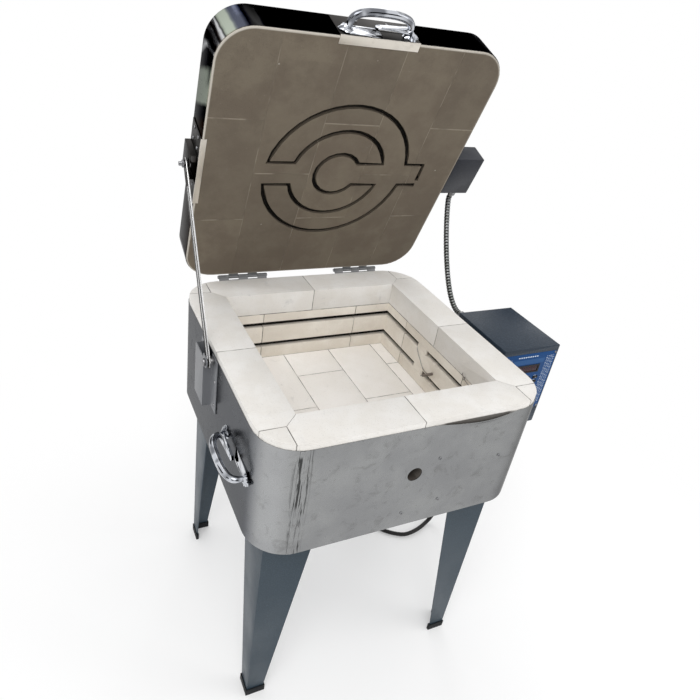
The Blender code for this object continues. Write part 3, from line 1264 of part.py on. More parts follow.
def make_control_box(frame):
    low = CONTROL_TOP - CONTROL_HEIGHT
    size = (CONTROL_WIDTH, CONTROL_HEIGHT)
    centre = (CONTROL_MIDDLE_X, CONTROL_TOP - CONTROL_HEIGHT / 2)
    panel_face = CONTROL_FRONT_Y
    body_front = panel_face + PANEL_SHEET + FIT_GAP
    outline = rounded_rectangle(*size, CONTROL_EDGE_RADIUS, 2, centre)
    housing = new_object("control_housing", prism_y("control_housing", outline, panel_face, CONTROL_BACK_Y),
                         frame, "hammered")
    wall = CONTROL_SHEET
    cut(housing, "housing_inside", boxes_mesh("housing_inside", [
        ((CONTROL_LEFT + wall, body_front + wall, low + wall),
         (CONTROL_RIGHT - wall, CONTROL_BACK_Y - wall, CONTROL_TOP - wall))]))
    panel_top = CONTROL_TOP - PANEL_TOP_DROP
    panel_low = panel_top - PANEL_HEIGHT
    panel_half = CONTROL_WIDTH / 2 - PANEL_SIDE_MARGIN
    seat = FIT_GAP
    cut(housing, "panel_seat", boxes_mesh("panel_seat", [
        ((CONTROL_MIDDLE_X - panel_half - seat, panel_face - CUT_OVERRUN, panel_low - seat),
         (CONTROL_MIDDLE_X + panel_half + seat, body_front, panel_top + seat))]))
    window_margin = BOARD_MARGIN / 2
    cut(housing, "panel_window", boxes_mesh("panel_window", [
        ((CONTROL_MIDDLE_X - panel_half + window_margin, panel_face - CUT_OVERRUN, panel_low + window_margin),
         (CONTROL_MIDDLE_X + panel_half - window_margin, body_front + CUT_OVERRUN,
          panel_top - window_margin))]))

    outline = rounded_rectangle(2 * panel_half, PANEL_HEIGHT, PANEL_CORNER_RADIUS, 3,
                                (CONTROL_MIDDLE_X, (panel_top + panel_low) / 2))
    panel = new_object("control_panel", prism_y("control_panel", outline, panel_face,
                                                panel_face + PANEL_SHEET), frame, "blue")
    display_z = panel_top - DISPLAY_DROP
    holes = [((CONTROL_MIDDLE_X - DISPLAY_WIDTH / 2 - FIT_GAP, panel_face - CUT_OVERRUN,
               display_z - DISPLAY_HEIGHT / 2 - FIT_GAP),
              (CONTROL_MIDDLE_X + DISPLAY_WIDTH / 2 + FIT_GAP, panel_face + CUT_OVERRUN,
               display_z + DISPLAY_HEIGHT / 2 + FIT_GAP))]
    for x, z in key_places():
        holes.append(((x - KEY_WIDTH / 2 - FIT_GAP, panel_face - CUT_OVERRUN, z - KEY_HEIGHT / 2 - FIT_GAP),
                      (x + KEY_WIDTH / 2 + FIT_GAP, panel_face + CUT_OVERRUN, z + KEY_HEIGHT / 2 + FIT_GAP)))
    cut(panel, "panel_holes", boxes_mesh("panel_holes", holes))

    bm = bmesh.new()
    add_box(bm, (CONTROL_MIDDLE_X - DISPLAY_WIDTH / 2, panel_face, display_z - DISPLAY_HEIGHT / 2),
            (CONTROL_MIDDLE_X + DISPLAY_WIDTH / 2, panel_face + DISPLAY_THICKNESS,
             display_z + DISPLAY_HEIGHT / 2))
    new_object("display_window", mesh_from(bm, "display_window"), frame, "display")

    for index, (x, z) in enumerate(key_places(), start=1):
        name = "key_{:02d}".format(index)
        axis = empty(name + "_travel", (x, panel_face, z), frame)
        bm = bmesh.new()
        add_box(bm, (-KEY_WIDTH / 2, -KEY_STAND_OUT, -KEY_HEIGHT / 2),
                (KEY_WIDTH / 2, KEY_LENGTH - KEY_STAND_OUT, KEY_HEIGHT / 2))
        upright = [edge for edge in bm.edges
                   if all(vert.co.y < 0 for vert in edge.verts)]
        bmesh.ops.bevel(bm, geom=upright, offset=KEY_CORNER_RADIUS, segments=1, affect='EDGES',
                        profile=0.5, material=-1)
        new_object(name, mesh_from(bm, name), axis, "black")

    # The switch board behind the panel is what the keys and the display press on
    board_front = panel_face + KEY_LENGTH - KEY_STAND_OUT + KEY_TRAVEL + FIT_GAP
    bm = bmesh.new()
    add_box(bm, (CONTROL_MIDDLE_X - panel_half + BOARD_MARGIN, board_front, panel_low + BOARD_MARGIN),
            (CONTROL_MIDDLE_X + panel_half - BOARD_MARGIN, board_front + BOARD_THICKNESS,
             panel_top - BOARD_MARGIN))
    board = new_object("switch_board", mesh_from(bm, "switch_board"), frame, "board")
    studs = []
    for sx in (-1, 1):
        for z in (panel_top - BOARD_MARGIN * 2, panel_low + BOARD_MARGIN * 2):
            x = CONTROL_MIDDLE_X + sx * (panel_half - BOARD_MARGIN * 2)
            studs.append(((x, panel_face + PANEL_SHEET + FIT_GAP, z),
                          (x, board_front + BOARD_THICKNESS / 2, z)))
    union(board, "board_studs", cylinders_mesh("board_studs", studs, BOARD_MARGIN / 4, SMALL_SIDES))

    bores = holes_along_x("housing_leads", CONTROL_LEFT - CUT_OVERRUN, CONTROL_LEFT + CONTROL_SHEET * 2,
                          LEAD_HOLE_RADIUS, THERMOCOUPLE_HOLE_RADIUS)
    cut(housing, "housing_leads", bores)
    cord_hole = [((CORD_EXIT_X, CORD_EXIT_Y, low - CUT_OVERRUN), (CORD_EXIT_X, CORD_EXIT_Y, low + 2 * wall))]
    cut(housing, "housing_cord_hole", cylinders_mesh("housing_cord_hole", cord_hole, CORD_RADIUS + FIT_GAP,
                                                     SMALL_SIDES))

    # Bent channels hold the box off the hot jacket
    near = HALF + FIT_GAP + STANDOFF_SHEET / 2
    far = CONTROL_LEFT - FIT_GAP - STANDOFF_SHEET / 2
    places = {"control_standoff_front": (CONTROL_FRONT_Y + STANDOFF_MARGIN, 1),
              "control_standoff_back": (CONTROL_BACK_Y - STANDOFF_MARGIN, -1)}
    for name, (y, way) in places.items():
        path = [(near, y + way * STANDOFF_FLANGE), (near, y), (far, y), (far, y + way * STANDOFF_FLANGE)]
        new_object(name, prism_z(name, strip_outline(path, STANDOFF_SHEET), low + STANDOFF_MARGIN,
                                 CONTROL_TOP - STANDOFF_MARGIN), frame, "zinc")


# Terminal box and conduit


def connector_mesh(name, length, nut_length, radius, nut_radius, bore):
    """Hex nut and sleeve along +Z from z = 0, with a bore that takes the hose or cord."""
    profile = [(radius, length), (radius, 0), (bore, 0), (bore, length), (radius, length)]
    sleeve = turned_mesh(name, profile)
    bm = bmesh.new()
    add_cylinder(bm, (0, 0, 0), (0, 0, nut_length), nut_radius, 6)
    nut = mesh_from(bm, name)
    item = new_object(name + "_nut", nut, None, collection=CUTTERS)
    drill = cutter(name + "_drill", cylinders_mesh(name, [((0, 0, -length), (0, 0, 2 * length))],
                                                   (radius + bore) / 2), None)
    boolean(item, drill)
    ring = evaluated_mesh(item, name)
    bpy.data.objects.remove(item, do_unlink=True)
    bpy.data.objects.remove(drill, do_unlink=True)
    return sleeve, ring


def make_connector(name, placement, parent, sizes, kind="zinc"):
    sleeve, ring = connector_mesh(name, *sizes)
    item = new_object(name, transform_mesh(sleeve, placement), parent, kind)
    union(item, name + "_nut", transform_mesh(ring, placement))
    return smooth(item)


def make_terminal_box(lid):
    middle_x = LID_HALF + FIT_GAP + TERMINAL_WIDTH / 2
    low = lid_local(LID_HALF + FIT_GAP, TERMINAL_FOOT_SPAN + TERMINAL_HEIGHT, TERMINAL_FACE_DEPTH)
    high = lid_local(LID_HALF + FIT_GAP + TERMINAL_WIDTH, TERMINAL_FOOT_SPAN,
                     TERMINAL_FACE_DEPTH + TERMINAL_DEPTH)
    bm = bmesh.new()
    verts = add_box(bm, low, high)
    far = [edge for edge in bm.edges if all(vert.co.x > middle_x for vert in edge.verts)]
    bmesh.ops.bevel(bm, geom=far, offset=TERMINAL_EDGE_RADIUS, segments=2, affect='EDGES', profile=0.5,
                    material=-1)
    box = new_object("lid_terminal_box", mesh_from(bm, "lid_terminal_box"), lid, "hammered")
    sheet = CONTROL_SHEET
    inside = [((low.x - CUT_OVERRUN, low.y + sheet, low.z + sheet),
               (high.x - sheet, high.y - sheet, high.z - sheet))]
    cut(box, "terminal_inside", boxes_mesh("terminal_inside", inside))
    place = lid_local(CONDUIT_X, TERMINAL_FOOT_SPAN, CONDUIT_LID_DEPTH)
    hole = [(place - Vector((0, 2 * sheet, 0)), place + Vector((0, CUT_OVERRUN, 0)))]
    cut(box, "terminal_hole", cylinders_mesh("terminal_hole", hole, CONDUIT_BORE, SMALL_SIDES))


def conduit_ends():
    """Where the hose leaves the lid's connector and the control box's connector, and which way."""
    lid_exit = lid_point(CONDUIT_X, TERMINAL_FOOT_SPAN - CONNECTOR_LENGTH - 2 * FIT_GAP, CONDUIT_LID_DEPTH)
    lid_way = (lid_point(CONDUIT_X, 0, CONDUIT_LID_DEPTH)
               - lid_point(CONDUIT_X, TERMINAL_FOOT_SPAN, CONDUIT_LID_DEPTH)).normalized()
    box_exit = Vector((CONDUIT_X, CONTROL_BACK_Y + CONNECTOR_LENGTH + 2 * FIT_GAP,
                       CONTROL_TOP - CONDUIT_DROP))
    return lid_exit, lid_way, box_exit, Vector((0, 1, 0))


def bezier(start, first, second, end, steps):
    points = []
    for step in range(steps + 1):
        t = step / steps
        points.append(start * (1 - t) ** 3 + first * 3 * t * (1 - t) ** 2
                      + second * 3 * t * t * (1 - t) + end * t ** 3)
    return points


def conduit_path(count):
    """Evenly spaced points of the hose, straight for one diameter at both ends."""
    lid_exit, lid_way, box_exit, box_way = conduit_ends()
    straight = 2 * CONDUIT_RADIUS
    start = lid_exit + lid_way * straight
    end = box_exit + box_way * straight
    curve = bezier(start, start + lid_way * CONDUIT_UPPER_PULL, end + box_way * CONDUIT_LOWER_PULL, end,
                   CONDUIT_CURVE_STEPS)
    curve = [lid_exit] + curve + [box_exit]
    return evenly(curve, count)


def evenly(points, count):
    """The same line with a given number of equal steps."""
    lengths = [0.0]
    for first, second in zip(points, points[1:]):
        lengths.append(lengths[-1] + (second - first).length)
    made = []
    index = 0
    for step in range(count + 1):
        target = lengths[-1] * step / count
        while index < len(points) - 2 and lengths[index + 1] < target:
            index += 1
        run = lengths[index + 1] - lengths[index]
        share = (target - lengths[index]) / run if run else 0.0
        made.append(points[index].lerp(points[index + 1], min(max(share, 0.0), 1.0)))
    return made


def make_conduit(frame, lid):
    sizes = (CONNECTOR_LENGTH, CONNECTOR_NUT_LENGTH, CONNECTOR_RADIUS, CONNECTOR_NUT_RADIUS, CONDUIT_BORE)
    foot = lid_local(CONDUIT_X, TERMINAL_FOOT_SPAN - FIT_GAP, CONDUIT_LID_DEPTH)
    make_connector("conduit_connector_lid", aim(foot, (0, 1, 0)), lid, sizes)
    place = (CONDUIT_X, CONTROL_BACK_Y + FIT_GAP, CONTROL_TOP - CONDUIT_DROP)
    make_connector("conduit_connector_box", aim(place, (0, 1, 0)), frame, sizes)

    count = 2 * CONDUIT_RIBS
    points = conduit_path(count)
    radii_share = [1.0 if index % 2 == 0 else (CONDUIT_RADIUS + CONDUIT_RIB) / CONDUIT_RADIUS
                   for index in range(count + 1)]
    hose = new_object("lid_conduit", tube_mesh("lid_conduit", points, CONDUIT_RADIUS, 2, radii_share),
                      frame, "conduit")
    core = conduit_path(CONDUIT_RIBS // 2)
    first = core[0] + (core[0] - core[1]).normalized() * CUT_OVERRUN
    last = core[-1] + (core[-1] - core[-2]).normalized() * CUT_OVERRUN
    cut(hose, "conduit_bore", tube_mesh("conduit_bore", [first] + core + [last], CONDUIT_BORE, 1))
    smooth(hose)


# Power cord

# Route of the cord's free stretch, chosen by hand: from the gland down to the floor, round
# under the kiln and between its legs to the coil behind it
CORD_ROUTE = [
    (0.3900, 0.0250, 0.4970), (0.3900, 0.0250, 0.4600), (0.3905, 0.0260, 0.4000),
    (0.3930, 0.0290, 0.3000), (0.3980, 0.0360, 0.2000), (0.4050, 0.0480, 0.1100),
    (0.4070, 0.0570, 0.0500), (0.4000, 0.0600, 0.0180), (0.3840, 0.0560, 0.0068),
    (0.3600, 0.0460, 0.0062), (0.3300, 0.0380, 0.0062), (0.3000, 0.0370, 0.0062),
    (0.2720, 0.0500, 0.0062), (0.2470, 0.0710, 0.0062), (0.2220, 0.1060, 0.0062),
    (0.2020, 0.1500, 0.0062), (0.1880, 0.2000, 0.0062), (0.1835, 0.2500, 0.0062),
    (0.1830, 0.2950, 0.0062), (0.1830, 0.3337, 0.0062),
]


def cord_shift():
    """The whole cord moves along X with the control box that it leaves."""
    return Vector((CORD_EXIT_X - CORD_ROUTE[0][0], 0, 0))


def catmull(points, steps):
    """A smooth curve through the points."""
    knots = [Vector(point) for point in points]
    knots = [knots[0] * 2 - knots[1]] + knots + [knots[-1] * 2 - knots[-2]]
    made = []
    for a, b, c, d in zip(knots, knots[1:], knots[2:], knots[3:]):
        for step in range(steps):
            t = step / steps
            made.append(0.5 * (2 * b + (c - a) * t + (2 * a - 5 * b + 4 * c - d) * t * t
                               + (3 * b - a - 3 * c + d) * t ** 3))
    made.append(knots[-2])
    return made


def coil_points():
    """Loops laid in two layers: the lower spirals in, the upper spirals out again."""
    turns = COIL_TURNS_PER_LAYER
    total = int(2 * turns * COIL_POINTS_PER_TURN)
    outer = COIL_MIDDLE_RADIUS + COIL_PITCH * turns / 2
    floor_z = CORD_ROUTE[-1][2]
    points = []
    for step in range(total + 1):
        turn = step / COIL_POINTS_PER_TURN
        radius = outer - COIL_PITCH * (turns - abs(turn - turns))
        # The climb to the second layer is centred on the place where the spiral turns round
        climb = min(max((turn - turns) / COIL_CLIMB_TURNS + 0.5, 0.0), 1.0)
        rise = COIL_LAYER_RISE * (3 * climb ** 2 - 2 * climb ** 3)
        angle = math.pi - 2 * math.pi * turn
        place = Vector((COIL_CENTRE_X + radius * math.cos(angle),
                        COIL_CENTRE_Y + radius * math.sin(angle), floor_z + rise))
        points.append(place + cord_shift())
    # Both ends run straight, square to what they meet
    first = points[0] - Vector((0, 2 * CORD_RADIUS, 0))
    last = points[-1] - Vector((0, COIL_TAIL, 0))
    return [first] + points + [last]


def least_gap(points, radius):
    """Smallest surface gap between parts of a tube that are not neighbours along it."""
    skip = COIL_POINTS_PER_TURN // 3
    best = 1.0
    for first in range(len(points)):
        for second in range(first + skip, len(points)):
            best = min(best, (points[first] - points[second]).length)
    return best - 2 * radius


def make_cord(frame):
    gland_top = CONTROL_TOP - CONTROL_HEIGHT - FIT_GAP
    sizes = (GLAND_LENGTH, GLAND_NUT_LENGTH, GLAND_RADIUS, GLAND_NUT_RADIUS, CORD_RADIUS + FIT_GAP)
    make_connector("cord_gland", aim((CORD_EXIT_X, CORD_EXIT_Y, gland_top), (0, 0, -1)), frame, sizes,
                   "black")

    route = [Vector(point) + cord_shift() for point in CORD_ROUTE]
    route = evenly(catmull(route, CORD_CURVE_STEPS), CORD_STEPS)
    smooth(new_object("power_cord", tube_mesh("power_cord", route, CORD_RADIUS), frame, "black"))

    coil = coil_points()
    print("least gap of the cord's coil to itself, mm:", round(least_gap(coil, CORD_RADIUS) * 1000, 2))
    smooth(new_object("cord_coil", tube_mesh("cord_coil", coil, CORD_RADIUS, 1), frame, "black"))

    way = (coil[-1] - coil[-2]).normalized()
    placement = Matrix.Translation(coil[-1] + way * FIT_GAP)
    placement = placement @ Matrix.Rotation(math.atan2(way.y, way.x), 4, 'Z') @ aim((0, 0, 0), (1, 0, 0))
    body = PLUG_NECK_LENGTH + PLUG_LENGTH
    profile = [(0, body), (PLUG_FACE_RADIUS, body), (PLUG_FACE_RADIUS, body - PLUG_LENGTH * PLUG_RIM_SHARE),
               (PLUG_BODY_RADIUS, body - PLUG_LENGTH * PLUG_TAPER_SHARE),
               (PLUG_BODY_RADIUS, body - PLUG_LENGTH * PLUG_SHOULDER_SHARE),
               (PLUG_NECK_RADIUS * PLUG_NECK_SHARE, PLUG_NECK_LENGTH), (PLUG_NECK_RADIUS, 0), (0, 0)]
    plug = new_object("cord_plug", transform_mesh(turned_mesh("cord_plug", profile), placement),
                      frame, "black")
    bm = bmesh.new()
    for side in (-1, 1):
        z = side * PLUG_BLADE_SPACING / 2
        add_box(bm, (-PLUG_BLADE_WIDTH / 2, z - PLUG_BLADE_THICKNESS / 2, body - FIT_GAP),
                (PLUG_BLADE_WIDTH / 2, z + PLUG_BLADE_THICKNESS / 2, body + PLUG_BLADE_LENGTH))
    add_cylinder(bm, (PLUG_EARTH_DROP, 0, body - FIT_GAP), (PLUG_EARTH_DROP, 0, body + PLUG_BLADE_LENGTH),
                 PLUG_EARTH_RADIUS, SMALL_SIDES)
    union(plug, "plug_blades", transform_mesh(mesh_from(bm, "plug_blades"), placement))
    smooth(plug)


def lid_handle_placement(plane):
    """Handle along X on the lid's front side, standing out to -Y of the shut lid."""
    turn = Matrix(((1, 0, 0, 0), (0, 0, -1, 0), (0, 1, 0, 0), (0, 0, 0, 1)))
    place = (0, plane - FIT_GAP, LID_FACE + LID_HANDLE_DEPTH)
    return Matrix.Translation(place) @ turn


def main():
    clear_scene()
    frame = empty("kiln_frame", (-ORIGIN_X, -ORIGIN_Y, 0))
    lid = empty("lid_hinge", (0, HINGE_Y, HINGE_Z), frame, turn_x=-LID_ANGLE)
    make_jacket(frame)
    make_brickwork(frame)
    make_elements(frame)
    make_legs(frame)
    make_handle("side_handle", side_handle_placement(), frame)
    make_lid(lid)
    plane = make_front_bracket(lid)
    make_handle("lid_handle", lid_handle_placement(plane), lid)
    make_hinges(frame, lid)
    make_arm(frame, lid)
    make_control_box(frame)
    make_terminal_box(lid)
    make_conduit(frame, lid)
    make_cord(frame)


main()
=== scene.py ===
"""Looks of the square glass kiln: finishes, sheet metal, element coils, hose, cord and fasteners.

Everything is in metres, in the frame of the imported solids. Pieces of the body are modelled about
the middle of the kiln, pieces of the lid about the hinge with the lid shut, and each one is
moved to its place before it becomes an object.
"""
import math

import bmesh
import bpy
from mathutils import Matrix, Vector
from mathutils.kdtree import KDTree


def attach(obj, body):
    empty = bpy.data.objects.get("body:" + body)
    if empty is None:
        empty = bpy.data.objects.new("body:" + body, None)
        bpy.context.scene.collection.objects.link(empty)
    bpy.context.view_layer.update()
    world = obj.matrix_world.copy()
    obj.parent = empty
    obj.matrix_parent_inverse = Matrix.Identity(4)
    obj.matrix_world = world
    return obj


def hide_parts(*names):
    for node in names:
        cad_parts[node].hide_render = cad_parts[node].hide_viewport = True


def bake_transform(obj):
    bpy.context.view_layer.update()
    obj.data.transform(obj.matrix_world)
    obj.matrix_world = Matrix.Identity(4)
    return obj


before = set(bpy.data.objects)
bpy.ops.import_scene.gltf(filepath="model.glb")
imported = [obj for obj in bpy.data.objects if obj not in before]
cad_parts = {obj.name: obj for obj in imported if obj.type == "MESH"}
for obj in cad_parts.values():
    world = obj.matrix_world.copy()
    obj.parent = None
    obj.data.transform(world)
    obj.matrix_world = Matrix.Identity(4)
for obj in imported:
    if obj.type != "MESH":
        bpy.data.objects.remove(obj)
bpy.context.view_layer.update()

# The kiln's middle in the frame, and its main sizes
KILN = Matrix.Translation((-0.06795, -0.03203762619495393, 0.0))
HALF = 0.2794
CORNER_RADIUS = 0.0762
OPENING_HALF = 0.2032
RIM_HEIGHT = 0.7182
JACKET_TOP = 0.7072
BODY_BOTTOM = 0.4769
SHEET = 0.0010
FIT_GAP = 0.0003
WELD_DISTANCE = 0.000005
PEEPHOLE_X = 0.0034
PEEPHOLE_Z = 0.6027
PEEPHOLE_RADIUS = 0.0145
ARM_X = -0.2920
SEAM_X = -0.2185
HANDLE_HALF = 0.0620
FOOT_REACH = 0.0158
FOOT_SPREAD = 0.0160
FOOT_DOME = 0.0042
FOOT_SCREW_OFFSET = 0.0095
BOW_RADIUS = 0.0062
BOW_CREST = 0.0330
BOW_ROOT = 0.0060
RIM_COURSE = 0.0508
CHAMBER_FLOOR = 0.5531
BRICK_LENGTH = 0.2286
BRICK_WIDTH = 0.1143
INNER_JOINT = BRICK_WIDTH / 2
OUTER_JOINT = BRICK_WIDTH * 1.5
BED_JOINT = RIM_HEIGHT - RIM_COURSE
HINGE_X = 0.1410
HINGE_SHEET = 0.0016
BRACKET_SHEET = 0.0020
LEG_SHEET = 0.0020
SIDE_BOW_PLACE = (-HALF - FIT_GAP, -0.1500, 0.6045)
LEAD_WINDOW_HALF = 0.0293
LEAD_WINDOW_MARGIN = 0.0113
THERMOCOUPLE_Y = -0.0180
THERMOCOUPLE_Z = 0.6082
THERMOCOUPLE_REACH = 0.0250

# The lid, about its hinge
HINGE_Y = 0.2880
HINGE_Z = 0.7222
LID_ANGLE = math.radians(68.4)
LID_HALF = 0.2760
LID_CORNER_RADIUS = 0.0640
LID_DEPTH = 0.0665
LID_BRICK_PROUD = 0.0030
LID_EDGE_RADIUS = 0.0040
LID_BACK_Y = LID_HALF - HINGE_Y
LID_FACE = -0.0035
SHELL_FACE = LID_FACE + LID_BRICK_PROUD
LID_BRACKET_SHEET = 0.0012
FRONT_WEB_Y = LID_BACK_Y - 2 * LID_HALF - FIT_GAP - LID_BRACKET_SHEET
LID_BOW_PLACE = (0, FRONT_WEB_Y - FIT_GAP, 0.0140)
TERMINAL_WIDTH = 0.0720
LID = KILN @ Matrix.Translation((0, HINGE_Y, HINGE_Z)) @ Matrix.Rotation(-LID_ANGLE, 4, 'X')

# Elements
COIL_RADIUS = 0.0045
COIL_WIRE_RADIUS = 0.0010
COIL_PITCH = 0.0031
COIL_BEND_RADIUS = 0.0060
ELEMENT_INSET = 0.2144
ELEMENT_TAIL = 0.3209
LEAD_SPACING = 0.0360
COIL_GAP = (0.0133, 0.0596)
LEAD_TURN_X = (0.2380, 0.2640)
GROOVE_HEIGHT = 0.0125
GROOVE_BACK = 0.2190
UPPER_COIL_Z = 0.63875
LOWER_COIL_Z = 0.58625
LID_COIL_RADIUS = 0.0036
LID_WIRE_RADIUS = 0.00065
LID_COIL_DEPTH = 0.0060
LID_COIL_DIVE = 0.0140
LID_COIL_DIVE_RUN = 0.0180
LID_LEAD_X = 0.1950
LID_LEAD_TAIL = 0.0080
LID_LEAD_SPACING = 0.0150
LID_ARC_X = 0.0020
LID_ARC_GAP = 0.0520
LID_ARC_RADII = (0.1520, 0.0990, 0.0475)
LID_COIL_PITCH = 0.0029
LID_LEAD_CLEARANCE = 0.0008
POINTS_PER_TURN = 9

# Control box
BOX_LEFT, BOX_RIGHT = 0.3044, 0.4554
BOX_FRONT, BOX_BACK = -0.1080, 0.0620
BOX_TOP, BOX_BOTTOM = 0.7082, 0.4982
BOX_MIDDLE = (BOX_LEFT + BOX_RIGHT) / 2
PANEL_TOP = 0.6942
PANEL_BOTTOM = 0.5412
DISPLAY_Z = 0.6542
DISPLAY_HALF_WIDTH = 0.0340
DISPLAY_HALF_HEIGHT = 0.0095
KEY_COLUMN_PITCH = 0.0220
KEY_ROW_PITCH = 0.0115
KEY_FIRST_Z = 0.6292
KEY_HALF_WIDTH = 0.0060
KEY_HALF_HEIGHT = 0.0031
KEY_STAND_OUT = 0.0026
PRINT_RISE = 0.0002
PRINT_SINK = 0.00005
KEY_MARK_SIZE = 0.0052
DIGIT_PITCH = 0.0135
LEGEND_PITCH = 0.0043

# Hose and cord
HOSE_X = 0.3250
HOSE_FITTING = 0.0180
HOSE_LID_SPAN = 0.2260
HOSE_LID_RISE = 0.0220
HOSE_BOX_DROP = 0.0170
HOSE_RADIUS = 0.0056
HOSE_RIB = 0.0009
HOSE_RIBS = 44
HOSE_LID_PULL = 0.0150
HOSE_BOX_PULL = 0.0700
CORD_RADIUS = 0.0055
GLAND_NUT_RADIUS = 0.0130
GLAND_NUT_LENGTH = 0.0080
GLAND_LENGTH = 0.0240
SLEEVE_RADIUS = 0.0100
SLEEVE_TAPER = 0.0032
SLEEVE_GROOVE = 0.0010
CORD_ROUTE = [
    (0.3900, 0.0250, 0.4970), (0.3900, 0.0250, 0.4600), (0.3905, 0.0260, 0.4000),
    (0.3930, 0.0290, 0.3000), (0.3980, 0.0360, 0.2000), (0.4050, 0.0480, 0.1100),
    (0.4070, 0.0570, 0.0500), (0.4000, 0.0600, 0.0180), (0.3840, 0.0560, 0.0068),
    (0.3600, 0.0460, 0.0062), (0.3300, 0.0380, 0.0062), (0.3000, 0.0370, 0.0062),
    (0.2720, 0.0500, 0.0062), (0.2470, 0.0710, 0.0062), (0.2220, 0.1060, 0.0062),
    (0.2020, 0.1500, 0.0062), (0.1880, 0.2000, 0.0062), (0.1835, 0.2500, 0.0062),
    (0.1830, 0.2950, 0.0062), (0.1830, 0.3337, 0.0062),
]
COIL_MIDDLE_RADIUS = 0.0620
COIL_TURNS = 1.25
COIL_CLIMB_TURNS = 0.5
COIL_STEP = 0.0120
COIL_CENTRE = (0.2525, 0.3450)
COIL_TAIL = 0.0300
AMBIENT = 0.80


# Camera and light


def linked(name, data):
    """An object of this data, in the scene."""
    item = bpy.data.objects.new(name, data)
    bpy.context.scene.collection.objects.link(item)
    return item


def aim_camera():
    """The photograph's own viewpoint, found by fitting the kiln's corners to it."""
    lens = bpy.data.cameras.new("camera")
    lens.sensor_width = 36.0
    lens.lens = 31.5896
    lens.shift_x = 0.01986
    lens.shift_y = -0.01679
    lens.clip_start = 0.05
    lens.clip_end = 60.0
    camera = linked("camera", lens)
    camera.location = (-0.61469, -0.94158, 1.32626)
    camera.rotation_euler = (1.0371477, -0.1383153, -0.4277637)
    bpy.context.scene.camera = camera


aim_camera()


def area_lamp(name, place, target, width, height, power):
    light = bpy.data.lights.new(name, 'AREA')
    light.shape = 'RECTANGLE'
    light.size = width
    light.size_y = height
    light.energy = power
    lamp = linked(name, light)
    lamp.location = place
    lamp.rotation_euler = (Vector(target) - Vector(place)).to_track_quat('-Z', 'Y').to_euler()


# Shader maths


class Value:
    """A number that varies over a surface: sums of it add their own Math nodes."""

    def __init__(self, finish, socket):
        self.finish = finish
        self.socket = socket

    def math(self, operation, first, second=None):
        values = {0: first} if second is None else {0: first, 1: second}
        return self.finish.node("ShaderNodeMath", {"operation": operation}, values)

    def __add__(self, other):
        return self.math('ADD', self, other)

    def __radd__(self, other):
        return self.math('ADD', other, self)

    def __sub__(self, other):
        return self.math('SUBTRACT', self, other)

    def __rsub__(self, other):
        return self.math('SUBTRACT', other, self)

    def __mul__(self, other):
        return self.math('MULTIPLY', self, other)

    def __rmul__(self, other):
        return self.math('MULTIPLY', other, self)

    def __abs__(self):
        return self.math('ABSOLUTE', self)

    def floor(self):
        return self.math('FLOOR', self)

    def root(self):
        return self.math('SQRT', self)

    def most(self, other):
        return self.math('MAXIMUM', self, other)

    def spread_evenly(self, low, high):
        """0 to 1 in a straight line as the value goes from low to high."""
        return self.finish.node("ShaderNodeMapRange", {"clamp": True},
                                {"Value": self, "From Min": low, "From Max": high})

    def spread(self, low, high, start=0.0, end=1.0):
        """0 to 1, or start to end, as the value goes from low to high, held at both ends."""
        return self.finish.node("ShaderNodeMapRange", {"clamp": True, "interpolation_type": 'SMOOTHSTEP'},
                                {"Value": self, "From Min": low, "From Max": high, "To Min": start,
                                 "To Max": end})

    def fade(self, low, high):
        """1 to 0 as the value goes from low to high."""
        return self.spread(low, high, 1.0, 0.0)


